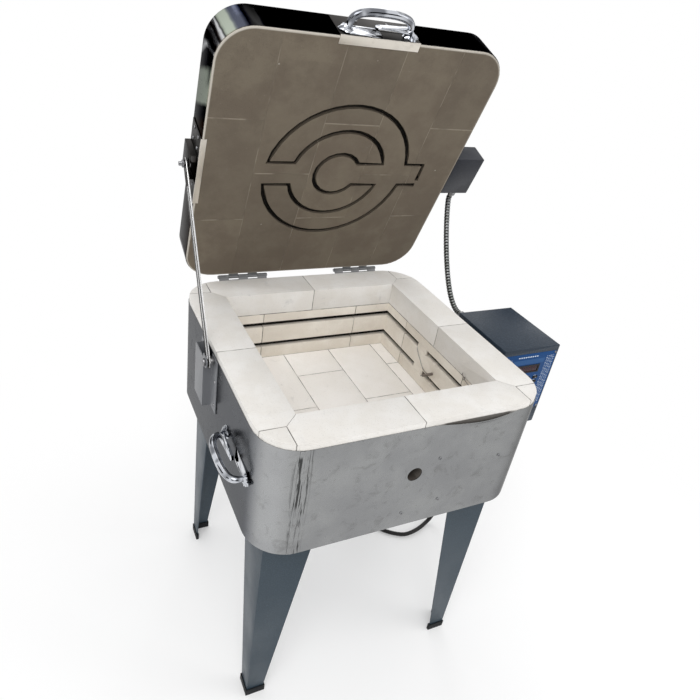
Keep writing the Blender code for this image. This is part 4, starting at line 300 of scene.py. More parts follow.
class Finish:
    """One procedural material. Its nodes are added by node()."""

    def __init__(self, name, metallic=0.0, **fixed):
        self.material = bpy.data.materials.new(name)
        self.material.use_nodes = True
        self.tree = self.material.node_tree
        self.shader = self.tree.nodes["Principled BSDF"]
        self.shader.inputs["Metallic"].default_value = metallic
        for socket, value in fixed.items():
            self.shader.inputs[socket.replace("_", " ")].default_value = value
        self.place = self.node("ShaderNodeTexCoord", {}, {}, "Object")

    def node(self, kind, settings, values, output=0):
        """Adds a node: settings first, then the values or links of its sockets."""
        made = self.tree.nodes.new(kind)
        for key, value in settings.items():
            if key == "stops":
                self.set_stops(made.color_ramp, value)
            else:
                setattr(made, key, value)
        for key, value in values.items():
            socket = made.inputs[key]
            if isinstance(value, Value):
                self.tree.links.new(value.socket, socket)
            elif isinstance(value, bpy.types.NodeSocket):
                self.tree.links.new(value, socket)
            else:
                socket.default_value = value
        return Value(self, made.outputs[output])

    @staticmethod
    def set_stops(ramp, stops):
        for index in (0, -1):
            ramp.elements[index].position = stops[index][0]
            ramp.elements[index].color = (*stops[index][1], 1.0)
        for position, colour in stops[1:-1]:
            ramp.elements.new(position).color = (*colour, 1.0)

    def turned(self, location=(0, 0, 0), rotation=(0, 0, 0), scale=(1, 1, 1)):
        """Coordinates moved, turned and stretched."""
        return self.node("ShaderNodeMapping", {}, {"Vector": self.place, "Location": location,
                                                   "Rotation": rotation, "Scale": scale})

    def noise(self, scale, detail=3.0, rough=0.55, where=None, distortion=0.0):
        return self.node("ShaderNodeTexNoise", {}, {"Vector": where or self.place, "Scale": scale,
                                                    "Detail": detail, "Roughness": rough,
                                                    "Distortion": distortion})

    def cells(self, scale, feature='F1', where=None, randomness=1.0):
        return self.node("ShaderNodeTexVoronoi", {"feature": feature},
                         {"Vector": where or self.place, "Scale": scale, "Randomness": randomness})

    def kiln_axes(self):
        """The place on the piece, measured from the middle of the kiln."""
        where = self.turned(location=tuple(KILN.inverted().translation))
        return [self.axis(letter, where) for letter in "XYZ"]

    def lid_axes(self):
        """The place on the piece, measured from the hinge as if the lid were shut."""
        where = self.turned(tuple(LID.inverted().translation), (LID_ANGLE, 0, 0))
        return [self.axis(letter, where) for letter in "XYZ"]

    def axis(self, letter, where=None):
        """One coordinate of the place on the piece."""
        return self.node("ShaderNodeSeparateXYZ", {}, {"Vector": where or self.place}, letter)

    def blend(self, factor, first, second, mode='MIX'):
        first = (*first, 1.0) if isinstance(first, tuple) else first
        second = (*second, 1.0) if isinstance(second, tuple) else second
        return self.node("ShaderNodeMix", {"data_type": 'RGBA', "blend_type": mode},
                         {0: factor, 6: first, 7: second}, 2)

    def set(self, socket, value):
        if isinstance(value, tuple):
            value = (*value, 1.0)
        if isinstance(value, Value):
            self.tree.links.new(value.socket, self.shader.inputs[socket])
        else:
            self.shader.inputs[socket].default_value = value

    def bump(self, height, distance, strength=1.0):
        """Relief: height from 0 to 1 stands for this distance in metres."""
        normal = self.node("ShaderNodeBump", {}, {"Height": height, "Distance": distance,
                                                  "Strength": strength})
        self.set("Normal", normal)


def steel_finish(name, light, dark, roughness, dents, grime=(0.16, 0.15, 0.14), extra=None, edge=1.0):
    """Sheet steel with smudges, hairline scratches and soft waves. Edge: how it shines at a slant."""
    made = Finish(name, metallic=1.0, Specular_Tint=(edge, edge, edge, 1.0))
    cloud = made.noise(9.0, 4.0, 0.6).spread(0.35, 0.70)
    smudge = made.noise(38.0, 5.0, 0.65, distortion=0.6).spread(0.52, 0.72)
    drip = made.noise(1.0, 4.0, 0.6, made.turned(scale=(90.0, 90.0, 7.0))).spread(0.60, 0.74)
    colour = made.blend(cloud, dark, light)
    colour = made.blend(smudge * 0.25, colour, grime)
    colour = made.blend(drip * smudge * 0.5, colour, grime)
    if extra:
        colour = extra(made, colour)
    made.set("Base Color", colour)
    hair = made.noise(1.0, 2.0, 0.5, made.turned(rotation=(0.3, 0.5, 0.8), scale=(900.0, 30.0, 60.0)))
    made.set("Roughness", roughness + cloud * 0.06 + smudge * 0.12 + hair.spread(0.62, 0.70) * 0.10)
    waves = made.noise(5.5, 2.0, 0.5)
    made.bump(waves + hair * 0.004, dents)
    return made


def chrome_finish(name, colour=(0.86, 0.87, 0.88), roughness=0.07):
    made = Finish(name, metallic=1.0)
    smear = made.noise(45.0, 4.0, 0.6).spread(0.50, 0.75)
    cloud = made.noise(32.0, 1.0, 0.4, distortion=0.8).spread(0.44, 0.62)
    shade = made.blend(smear * 0.35, colour, tuple(c * 0.72 for c in colour))
    # Painted reflection: dark bluish patches stand for dark surroundings mirrored in the chrome
    made.set("Base Color", made.blend(cloud * 0.80, shade, (0.085, 0.09, 0.105)))
    made.set("Roughness", roughness + smear * 0.08)
    made.bump(made.noise(240.0, 2.0), 0.00002)
    return made


def brick_finish(name, light, dark, stain, stain_low=0.60, extra=None):
    """Soft firebrick: mottled, pitted, a little chalky, with grey marks, and painted shade in its pits."""
    made = Finish(name, Roughness=0.94, Specular_IOR_Level=0.25)
    mottle = made.noise(14.0, 5.0, 0.65)
    grain = made.noise(420.0, 3.0, 0.7)
    pits = made.cells(340.0).spread(0.10, 0.24)
    broad = made.noise(3.2, 3.0, 0.5).spread(0.38, 0.66)
    colour = made.blend(mottle.spread(0.36, 0.66), dark, light)
    colour = made.blend(broad * 0.35, colour, dark)
    marks = made.noise(17.0, 6.0, 0.7, distortion=1.2).spread(stain_low, stain_low + 0.16)
    colour = made.blend(marks * 0.5, colour, stain)
    specks = made.cells(95.0).fade(0.055, 0.075)
    colour = made.blend(specks * 0.5, colour, stain)
    # Painted shade: the pits are darkened
    colour = made.blend((1.0 - pits) * 0.35, colour, tuple(c * 0.55 for c in dark))
    if extra:
        colour = extra(made, colour)
    made.set("Base Color", colour)
    made.bump(grain * 0.35 + pits * 0.55 + mottle * 0.4, 0.0006)
    return made


def paint_finish(name, base, deep, cell_scale=260.0, relief=0.00025, roughness=0.36, gloss=0.3):
    """Hammered enamel: small round dimples in a glossy coat."""
    made = Finish(name, Specular_IOR_Level=gloss)
    cell = made.cells(cell_scale, 'SMOOTH_F1')
    tone = cell.spread(0.10, 0.55)
    cloud = made.noise(12.0, 3.0).spread(0.35, 0.7)
    colour = made.blend(tone, base, deep)
    colour = made.blend(cloud * 0.3, colour, deep)
    wear = made.noise(60.0, 5.0, 0.7).spread(0.70, 0.76)
    colour = made.blend(wear * 0.4, colour, tuple(min(1.0, c * 2.2) for c in base))
    made.set("Base Color", colour)
    made.set("Roughness", roughness + cloud * 0.10)
    made.bump(cell.spread(0.0, 0.6), relief)
    return made


def plastic_finish(name, base, roughness, grain=700.0, relief=0.00004, gloss=0.5):
    made = Finish(name, Specular_IOR_Level=gloss)
    dust = made.noise(80.0, 4.0, 0.7).spread(0.55, 0.75)
    made.set("Base Color", made.blend(dust * 0.25, base, tuple(c * 0.6 + 0.03 for c in base)))
    made.set("Roughness", roughness + dust * 0.12)
    made.bump(made.noise(grain, 2.0), relief)
    return made


def hose_finish():
    """Wound steel strip: painted bright on its crests and near black in its hollows, as painted highlight and
    painted shade.
    """
    made = Finish("hose_steel", metallic=1.0)
    crest = made.node("ShaderNodeAttribute", {"attribute_name": "rib"}, {}, "Fac")
    cloud = made.noise(30.0, 4.0, 0.6).spread(0.35, 0.70)
    strip = made.blend(cloud, (0.20, 0.21, 0.20), (0.32, 0.325, 0.33))
    made.set("Base Color", made.blend(crest.spread(0.20, 0.80), (0.012, 0.012, 0.013), strip))
    made.set("Roughness", 0.42 - crest * 0.14)
    return made


def line_at(value, position, width=0.0008):
    """1 where the value is at this position, fading to 0 beside it."""
    return abs(value - position).fade(width * 0.5, width * 1.5)


def dirty_joints(made, colour, lines, share=0.85):
    """Joints filled with soot, darker in some places than in others."""
    worn = made.noise(55.0, 3.0).spread(0.35, 0.60, 0.45, 1.0)
    return made.blend(lines * worn * share, colour, (0.075, 0.062, 0.050))


def rim_looks(made, colour):
    """Joints of the rim: corner blocks, mitres, middle joints and the bed joint below it."""
    x, y, z = made.kiln_axes()
    wide, deep = abs(x), abs(y)
    past_block = (BRICK_LENGTH - 0.0012, BRICK_LENGTH + 0.0002)
    past_opening = (OPENING_HALF - 0.0014, OPENING_HALF - 0.0002)
    lines = line_at(deep, BRICK_LENGTH) * wide.spread(*past_block)
    lines = lines.most(line_at(wide, BRICK_LENGTH) * deep.spread(*past_block))
    mitre = wide.spread(BRICK_LENGTH + 0.0004, BRICK_LENGTH + 0.0014, 0.18, 0.0)
    lines = lines.most(line_at(wide - deep, 0.0, 0.0011) * mitre)
    lines = lines.most(line_at(x, 0.0) * deep.spread(*past_opening))
    lines = lines.most(line_at(y, 0.0) * wide.spread(*past_opening))
    lines = lines.most(z.fade(BED_JOINT + 0.0006, BED_JOINT + 0.0014))
    # Painted shade at the front, where the jacket's edge stands away from the rim
    return rim_gap_shade(made, dirty_joints(made, colour, lines))


def wall_looks(made, colour):
    """Joints of the wall course, and painted shade in each element groove and inside the peephole."""
    x, y, z = made.kiln_axes()
    wide, deep = abs(x), abs(y)
    past_opening = (OPENING_HALF - 0.0012, OPENING_HALF - 0.0002)
    lines = line_at(wide, BRICK_WIDTH) * deep.spread(*past_opening)
    lines = lines.most(line_at(deep, BRICK_WIDTH) * wide.spread(*past_opening))
    lines = lines.most(z.fade(CHAMBER_FLOOR + 0.0006, CHAMBER_FLOOR + 0.0014))
    lines = lines.most(z.spread(BED_JOINT - 0.0008, BED_JOINT - 0.0004))
    colour = dirty_joints(made, colour, lines)
    across, up = x - PEEPHOLE_X, z - PEEPHOLE_Z
    bore = (across * across + up * up).root().fade(PEEPHOLE_RADIUS + 0.0002, PEEPHOLE_RADIUS + 0.0012)
    front = y.fade(-OPENING_HALF - 0.002, -OPENING_HALF - 0.0005)
    # Painted shade in the element grooves, where they sink into the wall
    upper, lower = [abs(z - middle).fade(0.0030, 0.0062)
                    for middle in (UPPER_COIL_Z, LOWER_COIL_Z)]
    grooves = upper.most(lower)
    sunk = wide.most(deep).spread(OPENING_HALF + 0.0012, OPENING_HALF + 0.0045)
    colour = made.blend(grooves * sunk * 0.70, colour, (0.060, 0.048, 0.036))
    # Painted shade inside the peephole
    return made.blend(bore * front * 0.93, colour, (0.035, 0.028, 0.023))


def floor_looks(made, colour):
    """Joints of the floor: five columns, with their ends in half-brick bond."""
    x, y, _ = made.kiln_axes()
    wide, deep = abs(x), abs(y)
    lines = line_at(wide, INNER_JOINT).most(line_at(wide, OUTER_JOINT))
    odd = wide.spread(INNER_JOINT - 0.0002, INNER_JOINT + 0.0002)
    odd = odd * wide.fade(OUTER_JOINT - 0.0002, OUTER_JOINT + 0.0002)
    lines = lines.most(odd * line_at(y, 0.0))
    lines = lines.most((1.0 - odd) * line_at(deep, BRICK_WIDTH))
    return dirty_joints(made, colour, lines)


def lid_brick_looks(made, colour):
    """Each lid brick has its own tone; the slab's arris is worn pale, and a painted highlight makes it paler
    on its left and front edges; chips show white.
    """
    x, y, _ = made.lid_axes()
    y = y + (LID_HALF - LID_BACK_Y)
    column = ((x + BRICK_WIDTH * 2.5) * (1.0 / BRICK_WIDTH)).floor()
    odd = column - (column * 0.5).floor() * 2.0
    row = (y * (1.0 / BRICK_LENGTH) + (1.0 - odd) * 0.5).floor()
    brick = made.node("ShaderNodeCombineXYZ", {}, {0: column, 1: row})
    tone = made.node("ShaderNodeTexWhiteNoise", {"noise_dimensions": '2D'}, {"Vector": brick})
    colour = made.blend(tone * 0.30, colour, (0.098, 0.082, 0.064))
    wide, even = abs(x), 1.0 - odd
    joints = line_at(wide, INNER_JOINT, 0.0007).most(line_at(wide, OUTER_JOINT, 0.0007))
    joints = joints.most(even * line_at(abs(y), BRICK_WIDTH, 0.0012)).most(odd * line_at(y, 0.0, 0.0012))
    patchy = made.noise(19.0, 3.0).spread(0.40, 0.62, 0.08, 0.85)
    colour = made.blend(joints * patchy * 0.6, colour, (0.40, 0.35, 0.28))
    chips = made.cells(34.0).fade(0.045, 0.065) * made.noise(21.0).spread(0.56, 0.60)
    colour = made.blend(chips * 0.6, colour, (0.42, 0.39, 0.34))
    half, radius = LID_HALF - SHEET - FIT_GAP, LID_CORNER_RADIUS - SHEET - FIT_GAP
    across, along = (abs(x) - (half - radius)).most(0.0), (abs(y) - (half - radius)).most(0.0)
    inward = radius - (across * across + along * along).root()
    # Worn pale arris with a painted highlight: stronger on the left and front edges
    worn = inward.fade(0.0012, 0.0040) * (x + y).spread(-0.12, 0.12, 1.0, 0.25)
    return made.blend(worn * 0.75, colour, (0.66, 0.62, 0.55))


def jacket_looks(made, colour):
    """The left side is painted darker and bluer as painted shade, and the sheet turning round the front-left
    corner is painted paler as a painted highlight; dark runs stain the sheet beside its seam.
    """
    x, y, _ = made.kiln_axes()
    # Painted shade: the left side is darker and bluer
    side = x.fade(-HALF + 0.0005, -0.2650)
    colour = made.blend(side * 0.62, colour, (0.150, 0.158, 0.178))
    # Painted highlight: the sheet turning round the front-left corner is paler
    turn = (x + y).fade(-0.530, -0.490) * y.spread(-0.2780, -0.2650, 0.35, 1.0)
    colour = made.blend(turn * 0.45, colour, (0.60, 0.61, 0.625))
    beside = abs(x - (SEAM_X + 0.004)).fade(0.008, 0.019) * y.fade(-0.2650, -0.2450)
    thin = made.noise(1.0, 3.0, 0.6, made.turned(scale=(330.0, 330.0, 15.0))).spread(0.50, 0.56)
    where = made.noise(1.0, 2.0, 0.5, made.turned(scale=(20.0, 20.0, 14.0))).spread(0.44, 0.54)
    colour = made.blend(beside * thin * where * 0.85, colour, (0.018, 0.019, 0.018))
    splash = made.cells(70.0).fade(0.05, 0.09) * made.noise(11.0).spread(0.55, 0.62)
    return made.blend(splash * 0.5, colour, (0.05, 0.05, 0.05))


# Painted reflection: what stands round a kiln, mirrored in its polished lid, is painted as bands of a few
# plain tones
NIGHT, REFLECTED_GREY = (0.011, 0.011, 0.015), (0.05, 0.05, 0.05)
UMBER, EARTH = (0.036, 0.026, 0.021), (0.051, 0.038, 0.031)
LICHEN, SLATE, GLINT = (0.50, 0.55, 0.47), (0.12, 0.13, 0.17), (0.92, 0.93, 0.95)
LID_REFLECTION_BANDS = ((-0.264, UMBER), (0.040, UMBER), (0.070, EARTH), (0.112, UMBER), (0.124, NIGHT),
             (0.143, NIGHT), (0.150, LICHEN), (0.205, LICHEN), (0.214, NIGHT), (0.232, NIGHT),
             (0.236, GLINT), (0.240, NIGHT), (0.246, UMBER), (0.252, UMBER), (0.256, GLINT),
             (0.260, NIGHT), (0.266, UMBER), (0.274, GLINT), (0.279, NIGHT), (0.285, LICHEN),
             (0.305, LICHEN), (0.311, SLATE), (0.328, SLATE), (0.334, NIGHT), (0.345, REFLECTED_GREY),
             (0.357, REFLECTED_GREY), (0.365, NIGHT), (0.812, NIGHT), (0.826, GLINT), (0.840, NIGHT))


def lid_pan_looks(made, colour):
    """Painted reflection: bands run across the pan's sides and follow its corners; its back is plain polished
    sheet.
    """
    x, y, z = made.lid_axes()
    along = x - y
    low, high = LID_REFLECTION_BANDS[0][0], LID_REFLECTION_BANDS[-1][0]
    stops = [((at - low) / (high - low), tone) for at, tone in LID_REFLECTION_BANDS]
    shift = made.noise(24.0, 2.0) * 0.010 - 0.005
    slant = along.spread(0.19, 0.25, 0.54, 0.06)
    bands = made.node("ShaderNodeValToRGB", {"stops": stops},
                      {0: (along + shift + z * slant).spread_evenly(low, high)})
    sides = z.fade(SHELL_FACE + LID_DEPTH - 0.0045, SHELL_FACE + LID_DEPTH - 0.0015)
    return made.blend(sides, colour, bands)


def bracket_looks(made, colour):
    """The lid's brackets are dull pale on the lip that lies on the brick, dark polished beyond, where the
    dark is a painted reflection of dark surroundings.
    """
    _, _, z = made.lid_axes()
    return made.blend(z.spread(-0.0022, -0.0012), colour, (0.050, 0.047, 0.045))


def arm_looks(made, colour):
    """The arm's flat faces are painted dark and its cut edges bright: painted reflection on the faces,
    painted highlight on the edges.
    """
    x, _, _ = made.kiln_axes()
    flat = abs(x - ARM_X).spread(0.0010, 0.0013)
    return made.blend(flat, colour, (0.105, 0.100, 0.096))


def rim_gap_shade(made, colour):
    """The front of the rim is painted dark where the jacket's edge is bent away from it: painted shade in the
    gap.
    """
    x = made.axis("X")
    run = x.spread(-0.040, -0.022) * x.fade(0.108, 0.128)
    low = made.axis("Z").fade(JACKET_TOP - 0.0005, JACKET_TOP + 0.0015)
    front = made.axis("Y").fade(-0.3095, -0.3050)
    return made.blend(run * low * front * 0.9, colour, (0.045, 0.038, 0.032))


CREAM, CREAM_DEEP = (0.80, 0.785, 0.76), (0.745, 0.72, 0.68)
JACKET = steel_finish("jacket_stainless", (0.34, 0.345, 0.345), (0.28, 0.284, 0.288), 0.19, 0.0005,
                      (0.14, 0.135, 0.13), jacket_looks, 0.42)
GUIDE_STEEL = plastic_finish("guide_steel", (0.150, 0.156, 0.168), 0.42, 300.0, 0.00003, 0.6)
LID_STEEL = steel_finish("polished_steel", (0.40, 0.40, 0.41), (0.30, 0.30, 0.31), 0.07, 0.0005,
                         (0.22, 0.21, 0.20), lid_pan_looks, 0.30)
BRACKET = steel_finish("bracket_steel", (0.80, 0.75, 0.67), (0.70, 0.66, 0.60), 0.32, 0.0002,
                       (0.42, 0.39, 0.34), bracket_looks, 0.6)
ARM_STEEL = steel_finish("arm_steel", (0.86, 0.86, 0.86), (0.66, 0.66, 0.66), 0.16, 0.0003,
                         (0.30, 0.29, 0.28), arm_looks, 0.4)
CHROME = chrome_finish("handle_chrome", (0.58, 0.60, 0.64), 0.05)
ZINC = steel_finish("zinc_plate", (0.36, 0.36, 0.37), (0.22, 0.22, 0.23), 0.28, 0.0004, edge=0.6)
HINGE_STEEL = plastic_finish("hinge_steel", (0.135, 0.137, 0.140), 0.30, 400.0, 0.00003, 0.8)
RIM_BRICK = brick_finish("rim_brick", CREAM, CREAM_DEEP, (0.42, 0.42, 0.42), 0.62, rim_looks)
WALL_BRICK = brick_finish("wall_brick", (0.83, 0.785, 0.71), (0.75, 0.695, 0.615), (0.45, 0.42, 0.38),
                          0.62, wall_looks)
# Painted light: the chamber floor's firebrick is paler than the walls' and the rim's, for the light inside
# the chamber
FLOOR_BRICK = brick_finish("floor_brick", (0.97, 0.945, 0.915), (0.93, 0.90, 0.86), (0.62, 0.60, 0.58),
                           0.62, floor_looks)
LID_BRICK = brick_finish("lid_brick", (0.180, 0.152, 0.113), (0.140, 0.114, 0.086), (0.25, 0.23, 0.19),
                         0.66, lid_brick_looks)
WIRE = plastic_finish("oxidised_wire", (0.010, 0.009, 0.008), 0.70, 1500.0, 0.00003, 0.1)
BARE_WIRE = steel_finish("bare_wire", (0.34, 0.33, 0.31), (0.20, 0.19, 0.18), 0.40, 0.0001)
PORCELAIN = plastic_finish("porcelain", (0.80, 0.78, 0.73), 0.45, 500.0)
SCORCHED_PORCELAIN = plastic_finish("scorched_porcelain", (0.165, 0.140, 0.120), 0.60, 500.0)
HAMMERED = paint_finish("hammered_slate", (0.027, 0.042, 0.063), (0.019, 0.030, 0.046), gloss=0.28)
TERMINAL_PAINT = paint_finish("terminal_slate", (0.028, 0.031, 0.041), (0.020, 0.022, 0.029), 420.0, 0.00008,
                              gloss=0.28)
LEG_PAINT = paint_finish("leg_slate", (0.041, 0.063, 0.084), (0.031, 0.048, 0.064), 420.0, 0.00008,
                         gloss=0.25)
CAP = plastic_finish("foot_cap", (0.008, 0.009, 0.011), 0.60, gloss=0.2)
BLUE = plastic_finish("blue_panel", (0.010, 0.058, 0.185), 0.45, 900.0, 0.00002, 0.15)
BAND = plastic_finish("panel_band", (0.016, 0.080, 0.225), 0.45, 900.0, 0.00002, 0.2)
PRINT = plastic_finish("panel_print", (0.62, 0.70, 0.80), 0.5)
LENS = plastic_finish("display_lens", (0.014, 0.003, 0.006), 0.12, 900.0, 0.00001, 0.3)
DIGIT = plastic_finish("display_digit", (0.085, 0.012, 0.020), 0.3, gloss=0.2)
BOARD = plastic_finish("circuit_board", (0.02, 0.12, 0.05), 0.4)
KEY = plastic_finish("key_rubber", (0.010, 0.010, 0.012), 0.5, gloss=0.3)
CORD = plastic_finish("cord_rubber", (0.012, 0.011, 0.011), 0.48, 900.0, 0.00006, 0.3)
HOSE = hose_finish()


# Mesh helpers


def verts_of(result):
    return [item for item in result["geom"] if isinstance(item, bmesh.types.BMVert)]


def facing(place, way):
    """Takes +Z to the given direction at the given place."""
    return Matrix.Translation(place) @ Vector(way).to_track_quat('Z', 'Y').to_matrix().to_4x4()


def mesh_of(bm, name="stock"):
    mesh = bpy.data.meshes.new(name)
    bm.to_mesh(mesh)
    bm.free()
    return mesh


def bmesh_of(item):
    """What an object's modifiers or curve make of it. The object itself goes."""
    bm = bmesh.new()
    evaluated = item.evaluated_get(bpy.context.evaluated_depsgraph_get())
    bm.from_mesh(evaluated.to_mesh())
    evaluated.to_mesh_clear()
    bpy.data.objects.remove(item, do_unlink=True)
    return bm


def shaped(bm, kind, **settings):
    """The bmesh after one modifier."""
    item = linked("shaping", mesh_of(bm))
    modifier = item.modifiers.new(kind, kind)
    for key, value in settings.items():
        setattr(modifier, key, value)
    return bmesh_of(item)


def cut(bm, tool):
    item = linked("tool", mesh_of(tool))
    done = shaped(bm, 'BOOLEAN', operation='DIFFERENCE', solver='EXACT', object=item)
    bpy.data.objects.remove(item, do_unlink=True)
    return done


def stamp(bm, mesh, place):
    """Adds a copy of a mesh at a place."""
    before = len(bm.verts)
    bm.from_mesh(mesh)
    bm.verts.ensure_lookup_table()
    bmesh.ops.transform(bm, matrix=place, verts=bm.verts[before:])


def bevel(bm, edges, width, segments=2):
    bmesh.ops.bevel(bm, geom=edges, offset=width, segments=segments, profile=0.5, affect='EDGES',
                    material=-1)


def add_block(bm, low, high, place=Matrix.Identity(4)):
    low, high = Vector(low), Vector(high)
    matrix = place @ Matrix.Translation((low + high) / 2) @ Matrix.Diagonal((*(high - low), 1.0))
    return bmesh.ops.create_cube(bm, size=1.0, matrix=matrix)["verts"]


def add_rod(bm, start, end, radius, sides=16, end_radius=None):
    start, end = Vector(start), Vector(end)
    way = end - start
    return bmesh.ops.create_cone(bm, cap_ends=True, segments=sides, radius1=radius,
                                 radius2=radius if end_radius is None else end_radius, depth=way.length,
                                 matrix=facing((start + end) / 2, way))["verts"]


def spun(profile, steps=28):
    """A turned shape about Z from (radius, height) points, closed at its ends on the axis."""
    bm = bmesh.new()
    verts = [bm.verts.new((radius, 0, height)) for radius, height in profile]
    edges = [bm.edges.new(pair) for pair in zip(verts, verts[1:])]
    bmesh.ops.spin(bm, geom=verts + edges, cent=(0, 0, 0), axis=(0, 0, 1), angle=2 * math.pi,
                   steps=steps, use_merge=True)
    bmesh.ops.remove_doubles(bm, verts=bm.verts, dist=WELD_DISTANCE)
    bmesh.ops.recalc_face_normals(bm, faces=bm.faces)
    return bm


def finished(name, bm, finish, body, place=KILN, sharp=38.0):
    """Makes a piece of a finished bmesh, moved to its place, on its body."""
    bmesh.ops.transform(bm, matrix=place, verts=bm.verts)
    bmesh.ops.recalc_face_normals(bm, faces=bm.faces)
    limit = math.radians(sharp)
    for face in bm.faces:
        face.smooth = True
    for edge in bm.edges:
        edge.smooth = edge.is_manifold and edge.calc_face_angle(0.0) < limit
    mesh = mesh_of(bm, name)
    mesh.materials.append(finish.material)
    item = linked(name, mesh)
    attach(item, body)
    return item


def catmull(points, steps):
    """A smooth curve through the points."""
    knots = [Vector(point) for point in points]
    knots = [knots[0] * 2 - knots[1]] + knots + [knots[-1] * 2 - knots[-2]]
    made = []
    for a, b, c, d in zip(knots, knots[1:], knots[2:], knots[3:]):
        for step in range(steps):
            t = step / steps
            made.append(0.5 * (2 * b + (c - a) * t + (2 * a - 5 * b + 4 * c - d) * t * t
                               + (3 * b - a - 3 * c + d) * t ** 3))
    made.append(knots[-2])
    return made


def evenly(points, count):
    """The same line with a given number of equal steps."""
    lengths = [0.0]
    for first, second in zip(points, points[1:]):
        lengths.append(lengths[-1] + (second - first).length)
    made = []
    index = 0
    for step in range(count + 1):
        target = lengths[-1] * step / count
        while index < len(points) - 2 and lengths[index + 1] < target:
            index += 1
        run = lengths[index + 1] - lengths[index]
        share = (target - lengths[index]) / run if run else 0.0
        made.append(points[index].lerp(points[index + 1], min(max(share, 0.0), 1.0)))
    return made


def line_length(points):
    return sum((second - first).length for first, second in zip(points, points[1:]))


def wire_curve(name, points, radius, round_level=1, shares=None):
    """A round wire or hose along the points, as a curve object."""
    curve = bpy.data.curves.new(name, 'CURVE')
    curve.dimensions = '3D'
    curve.bevel_depth = radius
    curve.bevel_resolution = round_level
    curve.use_fill_caps = True
    spline = curve.splines.new('POLY')
    spline.points.add(len(points) - 1)
    for index, point in enumerate(points):
        spline.points[index].co = (*point, 1.0)
        if shares:
            spline.points[index].radius = shares[index]
    return linked(name, curve)


def wire_bmesh(points, radius, round_level=1, shares=None):
    bm = bmesh_of(wire_curve("wire", points, radius, round_level, shares))
    bmesh.ops.remove_doubles(bm, verts=bm.verts, dist=WELD_DISTANCE)
    return bm


def rounded_path(points, radius, steps=5):
    """The path with each inner corner replaced by a bend."""
    made = [Vector(points[0])]
    for before, corner, after in zip(points, points[1:], points[2:]):
        corner = Vector(corner)
        into = (Vector(before) - corner).normalized()
        out = (Vector(after) - corner).normalized()
        for step in range(steps + 1):
            share = step / steps
            made.append(corner + into * radius * (1 - share) ** 2 + out * radius * share ** 2)
    made.append(Vector(points[-1]))
    return made


def winding(path, radius, pitch, per_turn):
    """A helix of the given radius and pitch about a line."""
    count = int(line_length(path) / pitch * per_turn)
    spine = evenly(path, count)
    made = []
    for index, point in enumerate(spine):
        ahead = (spine[min(index + 1, count)] - spine[max(index - 1, 0)]).normalized()
        side = ahead.cross(Vector((0, 0, 1))).normalized()
        lift = side.cross(ahead)
        angle = 2 * math.pi * index / per_turn
        made.append(point + side * math.cos(angle) * radius + lift * math.sin(angle) * radius)
    return made


def square_block(half, radius, low, high, middle_y=0.0, segments=16):
    """A square block with round upright corners."""
    bm = bmesh.new()
    place = Matrix.Translation((0, middle_y, low)) @ Matrix.Rotation(math.pi / 4, 4, 'Z')
    bmesh.ops.create_circle(bm, cap_ends=True, segments=4, radius=half * math.sqrt(2), matrix=place)
    bmesh.ops.bevel(bm, geom=bm.verts[:], offset=radius, segments=segments, profile=0.5,
                    affect='VERTICES', material=-1)
    raised = bmesh.ops.extrude_face_region(bm, geom=bm.faces[:])
    bmesh.ops.translate(bm, verts=verts_of(raised), vec=(0, 0, high - low))
    bmesh.ops.recalc_face_normals(bm, faces=bm.faces)
    return bm


# Cords: the mains cord with its strain relief, and the hose to the lid


def cord_line():
    """The route from part to coil: loose run, then the loops of the coil."""
    loose = evenly(catmull(CORD_ROUTE, 12), 90)
    per_turn = 36
    total = int(2 * COIL_TURNS * per_turn)
    outer = COIL_MIDDLE_RADIUS + COIL_STEP * COIL_TURNS / 2
    loops = []
    for step in range(total + 1):
        turn = step / per_turn
        radius = outer - COIL_STEP * (COIL_TURNS - abs(turn - COIL_TURNS))
        climb = min(max((turn - COIL_TURNS) / COIL_CLIMB_TURNS + 0.5, 0.0), 1.0)
        rise = COIL_STEP * (3 * climb ** 2 - 2 * climb ** 3)
        angle = math.pi - 2 * math.pi * turn
        loops.append(Vector((COIL_CENTRE[0] + radius * math.cos(angle),
                             COIL_CENTRE[1] + radius * math.sin(angle), CORD_ROUTE[-1][2] + rise)))
    end = loops[-1] - Vector((0, COIL_TAIL, 0))
    return [KILN @ point for point in loose + loops + [end]]


def make_cord():
    line = cord_line()
    cord = wire_curve("mains_cord", line, CORD_RADIUS, 4)
    cord.data.materials.append(CORD.material)
    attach(cord, "kiln_body")
    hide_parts("power_cord", "cord_coil")

    # Hexagonal nut and a ribbed, tapered sleeve under the control box
    bm = bmesh.new()
    add_rod(bm, (0, 0, 0), (0, 0, GLAND_NUT_LENGTH), GLAND_NUT_RADIUS, 6)
    rim = [edge for edge in bm.edges if abs(edge.verts[0].co.z - edge.verts[1].co.z) < 1e-6]
    bevel(bm, rim, 0.0010)
    profile = [(0.0, GLAND_NUT_LENGTH * 0.5), (SLEEVE_RADIUS, GLAND_NUT_LENGTH * 0.5)]
    rings = 7
    step = (GLAND_LENGTH - GLAND_NUT_LENGTH) / rings
    for ring in range(rings):
        height = GLAND_NUT_LENGTH + step * ring
        radius = SLEEVE_RADIUS - SLEEVE_TAPER * ring / rings
        groove = radius - SLEEVE_GROOVE
        profile += [(radius, height), (radius, height + step * 0.55), (groove, height + step * 0.7),
                    (groove, height + step * 0.95)]
    profile += [(CORD_RADIUS + FIT_GAP, GLAND_LENGTH), (0.0, GLAND_LENGTH)]
    sleeve = spun(profile)
    stamp(bm, mesh_of(sleeve), Matrix.Identity(4))
    place = KILN @ facing((CORD_ROUTE[0][0], CORD_ROUTE[0][1], BOX_BOTTOM - FIT_GAP), (0, 0, -1))
    relief = finished("cord_strain_relief", bm, CORD, "kiln_body", place)
    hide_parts("cord_gland")
    round(line_length(line), 4)


